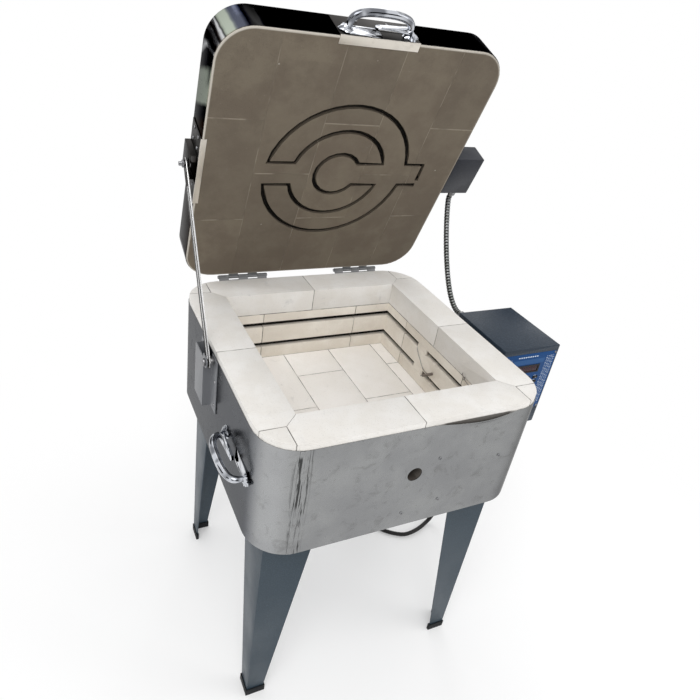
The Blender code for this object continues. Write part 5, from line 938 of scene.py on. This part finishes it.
def hose_line():
    """From the lid's connector to the control box's one."""
    straight = 2 * HOSE_RADIUS
    fitting = HOSE_FITTING + 2 * FIT_GAP
    upper = LID @ Vector((HOSE_X, LID_BACK_Y - (HOSE_LID_SPAN - fitting), LID_FACE + HOSE_LID_RISE))
    up_way = (LID.to_3x3() @ Vector((0, 1, 0))).normalized()
    lower = KILN @ Vector((HOSE_X, BOX_BACK + fitting, BOX_TOP - HOSE_BOX_DROP))
    low_way = Vector((0, 1, 0))
    start, end = upper + up_way * straight, lower + low_way * straight
    first, second = start + up_way * HOSE_LID_PULL, end + low_way * HOSE_BOX_PULL
    points = [upper]
    steps = 200
    for step in range(steps + 1):
        t = step / steps
        points.append(start * (1 - t) ** 3 + first * 3 * t * (1 - t) ** 2
                      + second * 3 * t * t * (1 - t) + end * t ** 3)
    return points + [lower]


def make_hose():
    per_rib = 8
    line = evenly(hose_line(), HOSE_RIBS * per_rib)
    shares = [1.0 + HOSE_RIB / HOSE_RADIUS * (0.5 - 0.5 * math.cos(2 * math.pi * index / per_rib)) ** 0.6
              for index in range(len(line))]
    bm = wire_bmesh(line, HOSE_RADIUS, 4, shares)
    bmesh.ops.recalc_face_normals(bm, faces=bm.faces)
    # How high each point stands between groove and crest, for the painted highlight and painted shade of its
    # finish
    nearest = KDTree(len(line))
    for index, point in enumerate(line):
        nearest.insert(point, index)
    nearest.balance()
    rib = bm.verts.layers.float.new("rib")
    for vert in bm.verts:
        vert[rib] = (shares[nearest.find(vert.co)[1]] - 1.0) * HOSE_RADIUS / HOSE_RIB
    for face in bm.faces:
        face.smooth = True
    mesh = mesh_of(bm, "lid_hose")
    mesh.materials.append(HOSE.material)
    hose = linked("lid_hose", mesh)
    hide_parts("lid_conduit")
    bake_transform(hose)
    round(line_length(line), 4)


make_cord()
make_hose()


# Bricks and sheet metal


def sliced(bm, place, normal):
    bmesh.ops.bisect_plane(bm, geom=bm.verts[:] + bm.edges[:] + bm.faces[:], plane_co=place,
                           plane_no=normal)


def make_jacket():
    bm = square_block(HALF, CORNER_RADIUS, BODY_BOTTOM, JACKET_TOP)
    flat = [face for face in bm.faces if abs(face.normal.z) > 0.5]
    bmesh.ops.delete(bm, geom=flat, context='FACES')
    # Cuts across the front let its top edge bend away from the rim
    low, high, count = 0.020, 0.200, 18
    for index in range(count + 1):
        sliced(bm, (low + (high - low) * index / count, 0, 0), (1, 0, 0))
    bend, sag, bulge = 0.026, 0.0085, 0.0038
    for drop in (0.004, 0.009, 0.016, bend):
        sliced(bm, (0, 0, JACKET_TOP - drop), (0, 0, 1))
    for vert in bm.verts:
        if vert.co.y < -HALF + 0.0005 and low < vert.co.x < high:
            t = (vert.co.x - low) / (high - low)
            swell = math.sin(math.pi * t ** 1.25) ** 1.1
            depth = max(0.0, 1.0 - (JACKET_TOP - vert.co.z) / bend)
            vert.co.z -= sag * swell * depth ** 2
            vert.co.y -= bulge * swell * depth ** 1.6
    bm = shaped(bm, 'SOLIDIFY', thickness=SHEET, offset=-1.0)
    hole = bmesh.new()
    add_rod(hole, (PEEPHOLE_X, -HALF - 0.01, PEEPHOLE_Z), (PEEPHOLE_X, -OPENING_HALF, PEEPHOLE_Z),
            PEEPHOLE_RADIUS, 40)
    bm = cut(bm, hole)
    window = bmesh.new()
    add_block(window, (HALF - 0.01, -LEAD_WINDOW_HALF, LOWER_COIL_Z - LEAD_WINDOW_MARGIN),
              (HALF + 0.01, LEAD_WINDOW_HALF, UPPER_COIL_Z + LEAD_WINDOW_MARGIN))
    bm = cut(bm, window)
    jacket = finished("steel_jacket", bm, JACKET, "kiln_body", sharp=30.0)
    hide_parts("body_jacket")

    # Lapped seam of the sheet where the front turns into its left corner
    lean = math.asin((SEAM_X + HALF - CORNER_RADIUS) / CORNER_RADIUS)
    depth = CORNER_RADIUS - HALF - CORNER_RADIUS * math.cos(lean)
    bm = bmesh.new()
    add_block(bm, (-0.0045, -0.0008, BODY_BOTTOM + 0.0005), (0.0045, 0.0004, JACKET_TOP - 0.0005))
    bevel(bm, bm.edges[:], 0.0002, 1)
    place = KILN @ Matrix.Translation((SEAM_X, depth, 0)) @ Matrix.Rotation(lean, 4, 'Z')
    finished("jacket_seam", bm, JACKET, "kiln_body", place)


def lid_lead_span(side):
    """How far from the lid's back edge each of the two leads goes into the brick."""
    low = LID_HALF - LID_ARC_GAP / 2
    return low + LID_LEAD_SPACING if side > 0 else low


def make_lid_shell():
    middle = LID_BACK_Y - LID_HALF
    bm = square_block(LID_HALF, LID_CORNER_RADIUS, SHELL_FACE, SHELL_FACE + LID_DEPTH, middle, 18)
    back = [edge for edge in bm.edges
            if all(vert.co.z > SHELL_FACE + LID_DEPTH / 2 for vert in edge.verts)
            and {face.normal.z > 0.5 for face in edge.link_faces} == {True, False}]
    bevel(bm, back, LID_EDGE_RADIUS, 5)
    bmesh.ops.delete(bm, geom=[face for face in bm.faces if face.normal.z < -0.5], context='FACES')
    bm = shaped(bm, 'SOLIDIFY', thickness=SHEET, offset=-1.0, use_even_offset=True)
    holes = bmesh.new()
    for side in (-1, 1):
        y = LID_BACK_Y - lid_lead_span(side)
        z = LID_FACE + LID_COIL_DEPTH + LID_COIL_DIVE
        add_rod(holes, (LID_HALF - 0.01, y, z), (LID_HALF + 0.01, y, z),
                LID_COIL_RADIUS + LID_LEAD_CLEARANCE, 20)
    bm = cut(bm, holes)
    shell = finished("lid_pan", bm, LID_STEEL, "lid", LID)
    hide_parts("lid_shell")


def copy_of(node, merge=0.00001):
    bm = bmesh.new()
    bm.from_mesh(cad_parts[node].data)
    bmesh.ops.remove_doubles(bm, verts=bm.verts, dist=merge)
    return bm


def make_lid_bricks():
    """The lid's bricks stand in five columns; their joints show as hairlines on the face."""
    bm = copy_of("lid_bricks")
    bmesh.ops.transform(bm, matrix=LID.inverted(), verts=bm.verts)
    middle = LID_BACK_Y - LID_HALF
    joint, deep, reach = 0.0003, 0.0004, 0.4
    low, high = LID_FACE - 0.01, LID_FACE + deep
    columns = bmesh.new()
    for x in (-OUTER_JOINT, -INNER_JOINT, INNER_JOINT, OUTER_JOINT):
        add_block(columns, (x - joint, middle - reach, low), (x + joint, middle + reach, high))
    bm = cut(bm, columns)
    rows = bmesh.new()
    for inner, outer in ((-reach, -OUTER_JOINT), (OUTER_JOINT, reach), (-INNER_JOINT, INNER_JOINT)):
        for offset in (-BRICK_WIDTH, BRICK_WIDTH):
            add_block(rows, (inner, middle + offset - joint, low), (outer, middle + offset + joint, high))
    for inner, outer in ((-OUTER_JOINT, -INNER_JOINT), (INNER_JOINT, OUTER_JOINT)):
        add_block(rows, (inner, middle - joint, low), (outer, middle + joint, high))
    bm = cut(bm, rows)
    bricks = finished("lid_brickwork", bm, LID_BRICK, "lid", LID, 30.0)
    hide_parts("lid_bricks")


make_jacket()
make_lid_shell()
make_lid_bricks()


# Heating elements


def wall_element_path(z):
    """Round the four walls, from one lead to the other. Inside the wall the leads draw together."""
    front, back = COIL_GAP[0] + 0.0020, COIL_GAP[1] - 0.0020
    near, far = -LEAD_SPACING / 2, LEAD_SPACING / 2
    inset, tail = ELEMENT_INSET, ELEMENT_TAIL
    turn, straight = LEAD_TURN_X
    corners = [(tail, near, z), (straight, near, z), (turn, front, z), (inset, front, z),
               (inset, -inset, z), (-inset, -inset, z), (-inset, inset, z), (inset, inset, z),
               (inset, back, z), (turn, back, z), (straight, far, z), (tail, far, z)]
    return evenly(rounded_path(corners, COIL_BEND_RADIUS), 900)


def make_groove_stops():
    """Between its two leads each groove is left closed, flush with the wall."""
    bm = bmesh.new()
    for z in (UPPER_COIL_Z, LOWER_COIL_Z):
        low = z - COIL_RADIUS - FIT_GAP + 0.0001
        add_block(bm, (OPENING_HALF + 0.0003, COIL_GAP[0] + 0.0055, low),
                  (GROOVE_BACK, COIL_GAP[1] - 0.0055, low + GROOVE_HEIGHT - 0.0002))
    finished("groove_stops", bm, WALL_BRICK, "kiln_body")


def make_elements():
    for name, node, z in (("upper_coil", "element_upper", UPPER_COIL_Z),
                          ("lower_coil", "element_lower", LOWER_COIL_Z)):
        line = winding(wall_element_path(z), COIL_RADIUS - COIL_WIRE_RADIUS, COIL_PITCH, POINTS_PER_TURN)
        bm = wire_bmesh(line, COIL_WIRE_RADIUS, 0)
        coil = finished(name, bm, WIRE, "kiln_body", sharp=80.0)
        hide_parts(node)
    line = [Vector((x, LID_BACK_Y - span, LID_FACE + LID_COIL_DEPTH)) for x, span in lid_element_route()]
    high, low = lid_lead(1)[::-1], lid_lead(-1)
    line = winding(high + line[1:-1] + low, LID_COIL_RADIUS - LID_WIRE_RADIUS, LID_COIL_PITCH,
                   POINTS_PER_TURN)
    bm = wire_bmesh(line, LID_WIRE_RADIUS, 0)
    coil = finished("lid_coil", bm, WIRE, "lid", LID, 80.0)
    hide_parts("lid_element")


def lid_lead(side):
    y = LID_BACK_Y - lid_lead_span(side)
    shallow = LID_FACE + LID_COIL_DEPTH
    deep = shallow + LID_COIL_DIVE
    return [Vector((LID_LEAD_X, y, shallow)), Vector((LID_LEAD_X + LID_COIL_DIVE_RUN, y, deep)),
            Vector((LID_HALF + LID_LEAD_TAIL, y, deep))]


def lid_element_route():
    """Three arcs about the middle of the lid, joined by straight runs, as (x, span) points."""
    outer, middle, inner = LID_ARC_RADII
    half_gap = LID_ARC_GAP / 2

    def arc(radius, first, last, steps):
        return [(LID_ARC_X + radius * math.cos(first + (last - first) * step / steps),
                 LID_HALF + radius * math.sin(first + (last - first) * step / steps))
                for step in range(steps + 1)]

    def lean(radius):
        return math.asin(half_gap / radius)

    route = [(LID_LEAD_X, lid_lead_span(1)), (LID_LEAD_X, LID_HALF + half_gap)]
    route += arc(outer, lean(outer), math.pi - lean(outer), 48)
    route += arc(middle, math.pi - lean(middle), lean(middle), 40)
    route += arc(inner, lean(inner), 2 * math.pi - lean(inner), 48)
    route += arc(middle, -lean(middle), lean(middle) - math.pi, 40)
    route += arc(outer, lean(outer) - math.pi, -lean(outer), 48)
    route.append((LID_LEAD_X, lid_lead_span(-1)))
    return route


make_elements()
make_groove_stops()


# Handles


def make_handle(name, node, body, place):
    """Cast bow handle along X that stands out along +Z, on two domed feet."""
    points, shares = [], []
    steps = 44
    for step in range(steps + 1):
        t = -1.0 + 2.0 * step / steps
        angle = math.pi * (step / steps)
        x = -(HANDLE_HALF - 0.0040) * math.copysign(abs(math.cos(angle)) ** 0.72, math.cos(angle))
        z = BOW_ROOT + (BOW_CREST - BOW_ROOT) * abs(math.sin(angle)) ** 0.62
        points.append(Vector((x, 0, z)))
        shares.append(1.0 + 0.10 * (1.0 - t * t) - 0.10 * abs(t) ** 6)
    bm = wire_bmesh(points, BOW_RADIUS, 6, shares)
    # Each foot is a cast leaf with four points, swept up to the bow's end
    rings, sides = 9, 40
    foot = bmesh.new()
    rows = []
    for ring in range(rings + 1):
        share = 1.0 - ring / rings
        row = []
        for side in range(sides):
            angle = math.tau * side / sides
            point = 0.72 + 0.28 * abs(math.cos(2.0 * angle)) ** 1.6
            rise = FOOT_DOME * (1.0 - share ** 6) + 0.0075 * (1.0 - share) ** 2.2
            row.append(foot.verts.new((share * point * FOOT_REACH * math.cos(angle),
                                       share * point * FOOT_SPREAD * math.sin(angle), rise)))
            if ring == rings:
                break
        rows.append(row)
    for ring in range(rings):
        for side in range(sides):
            after = (side + 1) % sides
            above = [rows[rings][0]] if ring == rings - 1 else [rows[ring + 1][after], rows[ring + 1][side]]
            foot.faces.new([rows[ring][side], rows[ring][after]] + above)
    foot.faces.new(reversed(rows[0]))
    foot_mesh = mesh_of(foot)
    for side in (-1, 1):
        stamp(bm, foot_mesh, Matrix.Translation((side * HANDLE_HALF, 0, 0)))
        for offset in (-FOOT_SCREW_OFFSET, FOOT_SCREW_OFFSET):
            stamp(bm, SCREW, Matrix.Translation((side * HANDLE_HALF, offset, FOOT_DOME)))
    item = finished(name, bm, CHROME, body, place, 50.0)
    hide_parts(node)


def screw_mesh():
    """Pan-head screw, 6 mm across, with a cross in its head."""
    bm = spun([(0.0, -0.0010), (0.0030, -0.0010), (0.0030, 0.0006), (0.0026, 0.0013), (0.0016, 0.0017),
               (0.0, 0.0018)], 16)
    for way in ((0.0019, 0.00035), (0.00035, 0.0019)):
        tool = bmesh.new()
        add_block(tool, (-way[0], -way[1], 0.0010), (way[0], way[1], 0.0030))
        bm = cut(bm, tool)
    return mesh_of(bm)


def bolt_mesh():
    """Hexagonal head, 10.4 mm over its corners, on a thin washer."""
    bm = bmesh.new()
    add_rod(bm, (0, 0, 0.0012), (0, 0, 0.0052), 0.0052, 6)
    rim = [edge for edge in bm.edges if all(vert.co.z > 0.005 for vert in edge.verts)]
    bevel(bm, rim, 0.0006)
    add_rod(bm, (0, 0, 0), (0, 0, 0.0012), 0.0068, 24)
    return mesh_of(bm)


SCREW = screw_mesh()
BOLT = bolt_mesh()
SIDE_TURN = Matrix(((0, 0, -1, 0), (1, 0, 0, 0), (0, -1, 0, 0), (0, 0, 0, 1)))
LID_TURN = Matrix(((1, 0, 0, 0), (0, 0, -1, 0), (0, 1, 0, 0), (0, 0, 0, 1)))
make_handle("side_bow", "side_handle", "kiln_body",
            KILN @ Matrix.Translation(SIDE_BOW_PLACE) @ SIDE_TURN)
make_handle("lid_bow", "lid_handle", "lid", LID @ Matrix.Translation(LID_BOW_PLACE) @ LID_TURN)


# Fasteners and small fittings


LEFT, RIGHT, FRONT, BACK, DOWN = (-1, 0, 0), (1, 0, 0), (0, -1, 0), (0, 1, 0), (0, 0, -1)


def spots(way, xs, ys, zs):
    """One place at each crossing of these coordinates, all facing one way."""
    return [((x, y, z), way) for x in xs for y in ys for z in zs]


def make_fasteners(name, body, rows, stock=SCREW):
    """Copies of one screw or bolt, each at its own place and facing its own way."""
    bm = bmesh.new()
    for spot, way in rows:
        stamp(bm, stock, facing(spot, way))
    finished(name, bm, ZINC, body, LID if body == "lid" else KILN, 40.0)


def make_body_screws():
    front = ((0.0717, 0.5240), (0.1874, 0.6036), (0.0499, 0.6289), (-0.0041, 0.5104))
    make_fasteners("jacket_screws", "kiln_body", [((x, -HALF, z), FRONT) for x, z in front])
    make_fasteners("guide_bracket_screws", "kiln_body",
                   spots(LEFT, (-HALF - FIT_GAP - BRACKET_SHEET,), (-0.0110, 0.0790), (0.6080, 0.6600)))

    across = [side * HINGE_X + offset for side in (-1, 1) for offset in (-0.044, 0.0, 0.044)]
    make_fasteners("hinge_body_screws", "kiln_body",
                   spots(BACK, across, (HALF + FIT_GAP + HINGE_SHEET,), (HINGE_Z - 0.0250, HINGE_Z - 0.0450)))
    make_fasteners("hinge_lid_screws", "lid",
                   spots(BACK, across, (LID_BACK_Y + FIT_GAP + HINGE_SHEET,), (0.0250, 0.0450)))

    make_fasteners("front_bracket_screws", "lid", spots(FRONT, (-0.0300, 0.0300), (FRONT_WEB_Y,), (0.0480,)))
    middle = LID_BACK_Y - LID_HALF
    along = [middle + side * y for side in (-1, 1) for y in (0.0400, 0.0620)]
    make_fasteners("arm_bracket_screws", "lid",
                   spots(LEFT, (-LID_HALF - FIT_GAP - LID_BRACKET_SHEET,), along, (0.0150, 0.0450)))

    make_fasteners("panel_screws", "kiln_body",
                   spots(FRONT, (BOX_MIDDLE - 0.0690, BOX_MIDDLE + 0.0690), (BOX_FRONT,),
                         (PANEL_TOP - 0.0040, PANEL_BOTTOM + 0.0040)))
    make_fasteners("housing_screws", "kiln_body",
                   spots(RIGHT, (BOX_RIGHT,), (-0.0900, 0.0440), (0.5150, 0.6900)))
    make_fasteners("terminal_screws", "lid",
                   spots(RIGHT, (LID_HALF + FIT_GAP + TERMINAL_WIDTH,),
                         (LID_BACK_Y - 0.2330, LID_BACK_Y - 0.3110), (0.0050, 0.0370)))

    under = BODY_BOTTOM - FIT_GAP - LEG_SHEET
    rows = []
    for sx in (-1, 1):
        for sy in (-1, 1):
            rows += [((sx * 0.1700, sy * 0.2240, under), DOWN), ((sx * 0.2360, sy * 0.1580, under), DOWN)]
    make_fasteners("leg_bolts", "kiln_body", rows, BOLT)


def key_places():
    return [(BOX_MIDDLE + (column - 1.5) * KEY_COLUMN_PITCH, KEY_FIRST_Z - row * KEY_ROW_PITCH)
            for row in range(3) for column in range(4)]


def add_mark(bm, text, size, middle, face):
    """Flat characters standing on a face that looks to the front."""
    curve = bpy.data.curves.new("mark", 'FONT')
    curve.body = text
    curve.size = size
    curve.extrude = 0.00006
    curve.align_x = 'CENTER'
    curve.align_y = 'CENTER'
    curve.resolution_u = 3
    place = Matrix.Translation((middle[0], face, middle[1])) @ Matrix.Rotation(math.pi / 2, 4, 'X')
    stamp(bm, mesh_of(bmesh_of(linked("mark", curve))), place)


def add_bar(bm, left, right, low, high, rise=PRINT_RISE):
    """A thin bar on the panel's face."""
    add_block(bm, (left, BOX_FRONT - rise, low), (right, BOX_FRONT - PRINT_SINK, high))


def make_display():
    """Bezel of the display and its four unlit digits."""
    across, up = DISPLAY_HALF_WIDTH + 0.0008, DISPLAY_HALF_HEIGHT + 0.0008
    bm = bmesh.new()
    add_block(bm, (BOX_MIDDLE - across, BOX_FRONT - 0.0009, DISPLAY_Z - up),
              (BOX_MIDDLE + across, BOX_FRONT - 0.0001, DISPLAY_Z + up))
    across, up = DISPLAY_HALF_WIDTH - 0.0030, DISPLAY_HALF_HEIGHT - 0.0022
    hole = bmesh.new()
    add_block(hole, (BOX_MIDDLE - across, BOX_FRONT - 0.005, DISPLAY_Z - up),
              (BOX_MIDDLE + across, BOX_FRONT + 0.005, DISPLAY_Z + up))
    finished("display_bezel", cut(bm, hole), KEY, "kiln_body")

    bm = bmesh.new()
    wide, tall, bar, rise = 0.0070, 0.0130, 0.0011, 0.00015
    for digit in range(4):
        x = BOX_MIDDLE + (digit - 1.5) * DIGIT_PITCH
        for level in (-1, 0, 1):
            z = DISPLAY_Z + level * tall / 2
            add_bar(bm, x - wide / 2 + bar, x + wide / 2 - bar, z - bar / 2, z + bar / 2, rise)
        for side in (-1, 1):
            edge = x + side * wide / 2
            for half in (-1, 1):
                add_bar(bm, edge - bar / 2, edge + bar / 2, DISPLAY_Z + (half - 1) * tall / 4 + bar,
                        DISPLAY_Z + (half + 1) * tall / 4 - bar, rise)
    finished("display_digits", bm, DIGIT, "kiln_body")


def make_legend():
    """Rows of plain dashes beside, below and above the keys, with no words."""
    bm = bmesh.new()
    top, bottom, thick = PANEL_TOP - 0.0120, PANEL_BOTTOM + 0.0100, 0.00045
    for row in range(int((top - bottom) / LEGEND_PITCH)):
        z = top - row * LEGEND_PITCH
        for side in (-1, 1):
            for column in range(4):
                x = BOX_MIDDLE + side * (0.0500 + column * 0.0056)
                reach = 0.0011 + 0.0007 * ((row * 2 + column * side) % 3)
                add_bar(bm, x - reach, x + reach, z - thick, z + thick)
    for row in range(7):
        z = KEY_FIRST_Z - 0.0360 - row * LEGEND_PITCH
        for column in range(8):
            x = BOX_MIDDLE - 0.0380 + column * 0.0108
            reach = 0.0014 + 0.0011 * ((row + 2 * column) % 3)
            add_bar(bm, x - reach, x + reach, z - thick, z + thick)
    for column in range(9):
        x = BOX_MIDDLE - 0.0300 + column * 0.0062
        add_bar(bm, x - 0.0022, x + 0.0018, PANEL_TOP - 0.0095, PANEL_TOP - 0.0070, 0.0003)
    for x, z in key_places():
        low = z + KEY_HALF_HEIGHT + 0.0010
        add_bar(bm, x - KEY_HALF_WIDTH, x + KEY_HALF_WIDTH * 0.4, low, low + 0.0007)
    finished("panel_legend", bm, PRINT, "kiln_body")


def make_panel_details():
    # Lighter band where a name would be, left bare
    bm = bmesh.new()
    add_block(bm, (BOX_MIDDLE - 0.0430, BOX_FRONT - 0.0003, PANEL_TOP - 0.0270),
              (BOX_MIDDLE + 0.0430, BOX_FRONT + 0.0002, PANEL_TOP - 0.0150))
    bevel(bm, bm.edges[:], 0.0001, 1)
    finished("panel_band", bm, BAND, "kiln_body")
    make_display()
    make_legend()
    marks = ("1", "2", "3", "+", "4", "5", "6", "-", "7", "8", "9", "0")
    for index, (place, mark) in enumerate(zip(key_places(), marks), start=1):
        bm = bmesh.new()
        add_mark(bm, mark, KEY_MARK_SIZE, place, BOX_FRONT - KEY_STAND_OUT - 0.00003)
        finished("key_mark_%02d" % index, bm, PRINT, "key_%02d" % index)


def make_element_pin():
    """Small wire staple pushed into the bed joint on the right wall."""
    wall, bed = OPENING_HALF, BED_JOINT
    points = [(wall + 0.0040, -0.1080, bed + 0.0060), (wall - 0.0020, -0.1120, bed + 0.0045),
              (wall - 0.0030, -0.1220, bed), (wall - 0.0022, -0.1330, bed - 0.0050),
              (wall + 0.0030, -0.1400, bed - 0.0085)]
    bm = wire_bmesh(catmull(points, 6), 0.0008, 2)
    add_rod(bm, (wall - 0.0028, -0.1190, bed - 0.0060), (wall - 0.0028, -0.1230, bed + 0.0050), 0.0007, 8)
    finished("element_pin", bm, BARE_WIRE, "kiln_body")


def make_thermocouple():
    """Scorched sleeve with two wires welded to a bead at its tip, and a bare wire that hangs by it."""
    y, z = THERMOCOUPLE_Y, THERMOCOUPLE_Z
    tip = OPENING_HALF - THERMOCOUPLE_REACH
    bm = copy_of("thermocouple")
    bmesh.ops.transform(bm, matrix=KILN.inverted(), verts=bm.verts)
    sleeve = finished("thermocouple_sleeve", bm, SCORCHED_PORCELAIN, "kiln_body")
    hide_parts("thermocouple")
    bm = bmesh.new()
    for side in (-1, 1):
        points = [(tip + 0.002, y + side * 0.0012, z), (tip - 0.0020, y + side * 0.0012, z),
                  (tip - 0.0040, y, z)]
        stamp(bm, mesh_of(wire_bmesh(catmull(points, 5), 0.0005, 1)), Matrix.Identity(4))
    bmesh.ops.create_icosphere(bm, subdivisions=2, radius=0.0013,
                               matrix=Matrix.Translation((tip - 0.0042, y, z)))
    finished("thermocouple_bead", bm, BARE_WIRE, "kiln_body")

    wall = OPENING_HALF - 0.0011
    points = [(ELEMENT_INSET, COIL_GAP[1] - 0.0020, UPPER_COIL_Z),
              (wall + 0.0030, 0.0560, UPPER_COIL_Z - 0.0030), (wall, 0.0500, 0.6280),
              (wall, 0.0330, 0.6130), (wall, 0.0150, 0.6000),
              (wall - 0.0020, -0.0040, 0.6010), (wall - 0.0040, -0.0135, 0.6045)]
    finished("lead_wire", wire_bmesh(catmull(points, 8), 0.0009, 2), BARE_WIRE, "kiln_body")


make_body_screws()
make_panel_details()
make_element_pin()
make_thermocouple()


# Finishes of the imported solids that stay


def dress(finish, soften, *nodes):
    """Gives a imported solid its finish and, through modifiers, fine broken edges."""
    for name in nodes:
        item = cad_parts[name]
        item.data.materials.clear()
        item.data.materials.append(finish.material)
        for polygon in item.data.polygons:
            polygon.use_smooth = True
        weld = item.modifiers.new("weld", 'WELD')
        weld.merge_threshold = 0.00001
        if soften:
            flat = item.modifiers.new("flat_faces", 'DECIMATE')
            flat.decimate_type = 'DISSOLVE'
            flat.angle_limit = math.radians(0.5)
            edge = item.modifiers.new("broken_edges", 'BEVEL')
            edge.width = soften
            edge.segments = 2
            edge.limit_method = 'ANGLE'
            edge.angle_limit = math.radians(32.0)
            edge.harden_normals = True
            edge.use_clamp_overlap = True


dress(RIM_BRICK, 0.0003, "rim_bricks")
dress(WALL_BRICK, 0.0003, "wall_bricks")
dress(FLOOR_BRICK, 0.0003, "floor_bricks")
dress(GUIDE_STEEL, 0.0003, "arm_guide_bracket")
dress(BRACKET, 0.0003, "lid_front_bracket", "lid_arm_bracket")
dress(ARM_STEEL, 0.0003, "support_arm")
dress(ZINC, 0.0002, "base_pan", "arm_guide_pin", "arm_pivot_bolt", "hinge_pin_left", "hinge_pin_right",
      "control_standoff_front", "control_standoff_back", "conduit_connector_box", "conduit_connector_lid")
dress(HINGE_STEEL, 0.0002, "hinge_leaf_body_left", "hinge_leaf_body_right", "hinge_leaf_lid_left",
      "hinge_leaf_lid_right")
dress(PORCELAIN, 0.0003, "lead_block")
dress(HAMMERED, 0.0005, "control_housing")
dress(TERMINAL_PAINT, 0.0005, "lid_terminal_box")
dress(LEG_PAINT, 0.0005, "leg_front_left", "leg_front_right", "leg_back_left", "leg_back_right")
dress(CAP, 0.0006, "foot_front_left", "foot_front_right", "foot_back_left", "foot_back_right")
dress(BLUE, 0.0002, "control_panel")
dress(LENS, 0.0002, "display_window")
dress(BOARD, 0.0, "switch_board")
dress(KEY, 0.0003, *["key_%02d" % number for number in range(1, 13)])
dress(CORD, 0.0004, "cord_plug")


# Stage


def sees_backdrop(nodes, links):
    """1 for the rays that show the backdrop: the camera's, mirrored ones and those through glass."""
    path = nodes.new("ShaderNodeLightPath")
    first, second = nodes.new("ShaderNodeMath"), nodes.new("ShaderNodeMath")
    for node in (first, second):
        node.operation = 'MAXIMUM'
    links.new(path.outputs["Is Camera Ray"], first.inputs[0])
    links.new(path.outputs["Is Glossy Ray"], first.inputs[1])
    links.new(first.outputs[0], second.inputs[0])
    links.new(path.outputs["Is Transmission Ray"], second.inputs[1])
    return second.outputs[0]


def staged(name, bm, material):
    mesh = mesh_of(bm, name)
    mesh.materials.append(material)
    item = linked(name, mesh)
    return item


def make_world():
    """A white studio: as seen it is pure white, while it lights the kiln a little less."""
    world = bpy.data.worlds.new("studio")
    world.use_nodes = True
    bpy.context.scene.world = world
    nodes, links = world.node_tree.nodes, world.node_tree.links
    strength = nodes.new("ShaderNodeMapRange")
    strength.inputs["To Min"].default_value = AMBIENT
    strength.inputs["To Max"].default_value = 1.0
    nodes["Background"].inputs["Color"].default_value = (1.0, 1.0, 1.0, 1.0)
    links.new(sees_backdrop(nodes, links), strength.inputs["Value"])
    links.new(strength.outputs[0], nodes["Background"].inputs["Strength"])


def make_floor():
    """Pale floor: it keeps the shadow near the kiln and goes over to the white backdrop further out."""
    made = Finish("studio_floor", Roughness=0.9, Specular_IOR_Level=0.0)
    made.set("Base Color", (0.93, 0.93, 0.93))
    tree = made.tree
    x, y = made.axis("X"), made.axis("Y")
    far = (x * x + y * y).root().spread(0.55, 1.30, 0.25, 1.0)
    shown = far * Value(made, sees_backdrop(tree.nodes, tree.links))
    white = tree.nodes.new("ShaderNodeEmission")
    white.inputs["Color"].default_value = (1.0, 1.0, 1.0, 1.0)
    mix = tree.nodes.new("ShaderNodeMixShader")
    tree.links.new(shown.socket, mix.inputs[0])
    tree.links.new(made.shader.outputs[0], mix.inputs[1])
    tree.links.new(white.outputs[0], mix.inputs[2])
    tree.links.new(mix.outputs[0], tree.nodes["Material Output"].inputs["Surface"])
    bm = bmesh.new()
    bmesh.ops.create_grid(bm, x_segments=1, y_segments=1, size=30.0)
    staged("studio_floor", bm, made.material)


def make_screens():
    """Dark screens round the kiln at every second step, for the polished metal to mirror."""
    bm = bmesh.new()
    bmesh.ops.create_cone(bm, cap_ends=False, segments=20, radius1=5.0, radius2=5.0, depth=2.6,
                          matrix=Matrix.Translation((0, 0, 1.7)))
    bm.faces.ensure_lookup_table()
    bmesh.ops.delete(bm, geom=[face for index, face in enumerate(bm.faces) if index % 2], context='FACES')
    dark = Finish("dark_screen", Roughness=1.0)
    dark.set("Base Color", (0.04, 0.04, 0.045))
    screens = staged("dark_screens", bm, dark.material)
    for ray in ("camera", "diffuse", "shadow", "transmission"):
        setattr(screens, "visible_" + ray, False)


make_world()
make_floor()
make_screens()
area_lamp("key_lamp", (-1.5, -2.0, 3.9), (0.0, 0.0, 0.7), 2.2, 2.2, 62.0)
area_lamp("fill_lamp", (2.8, -1.6, 2.2), (0.0, 0.0, 0.7), 2.0, 2.0, 20.0)
area_lamp("back_lamp", (0.6, 2.8, 2.8), (0.0, 0.0, 0.9), 2.2, 2.2, 22.0)
bpy.context.scene.view_settings.view_transform = 'Standard'
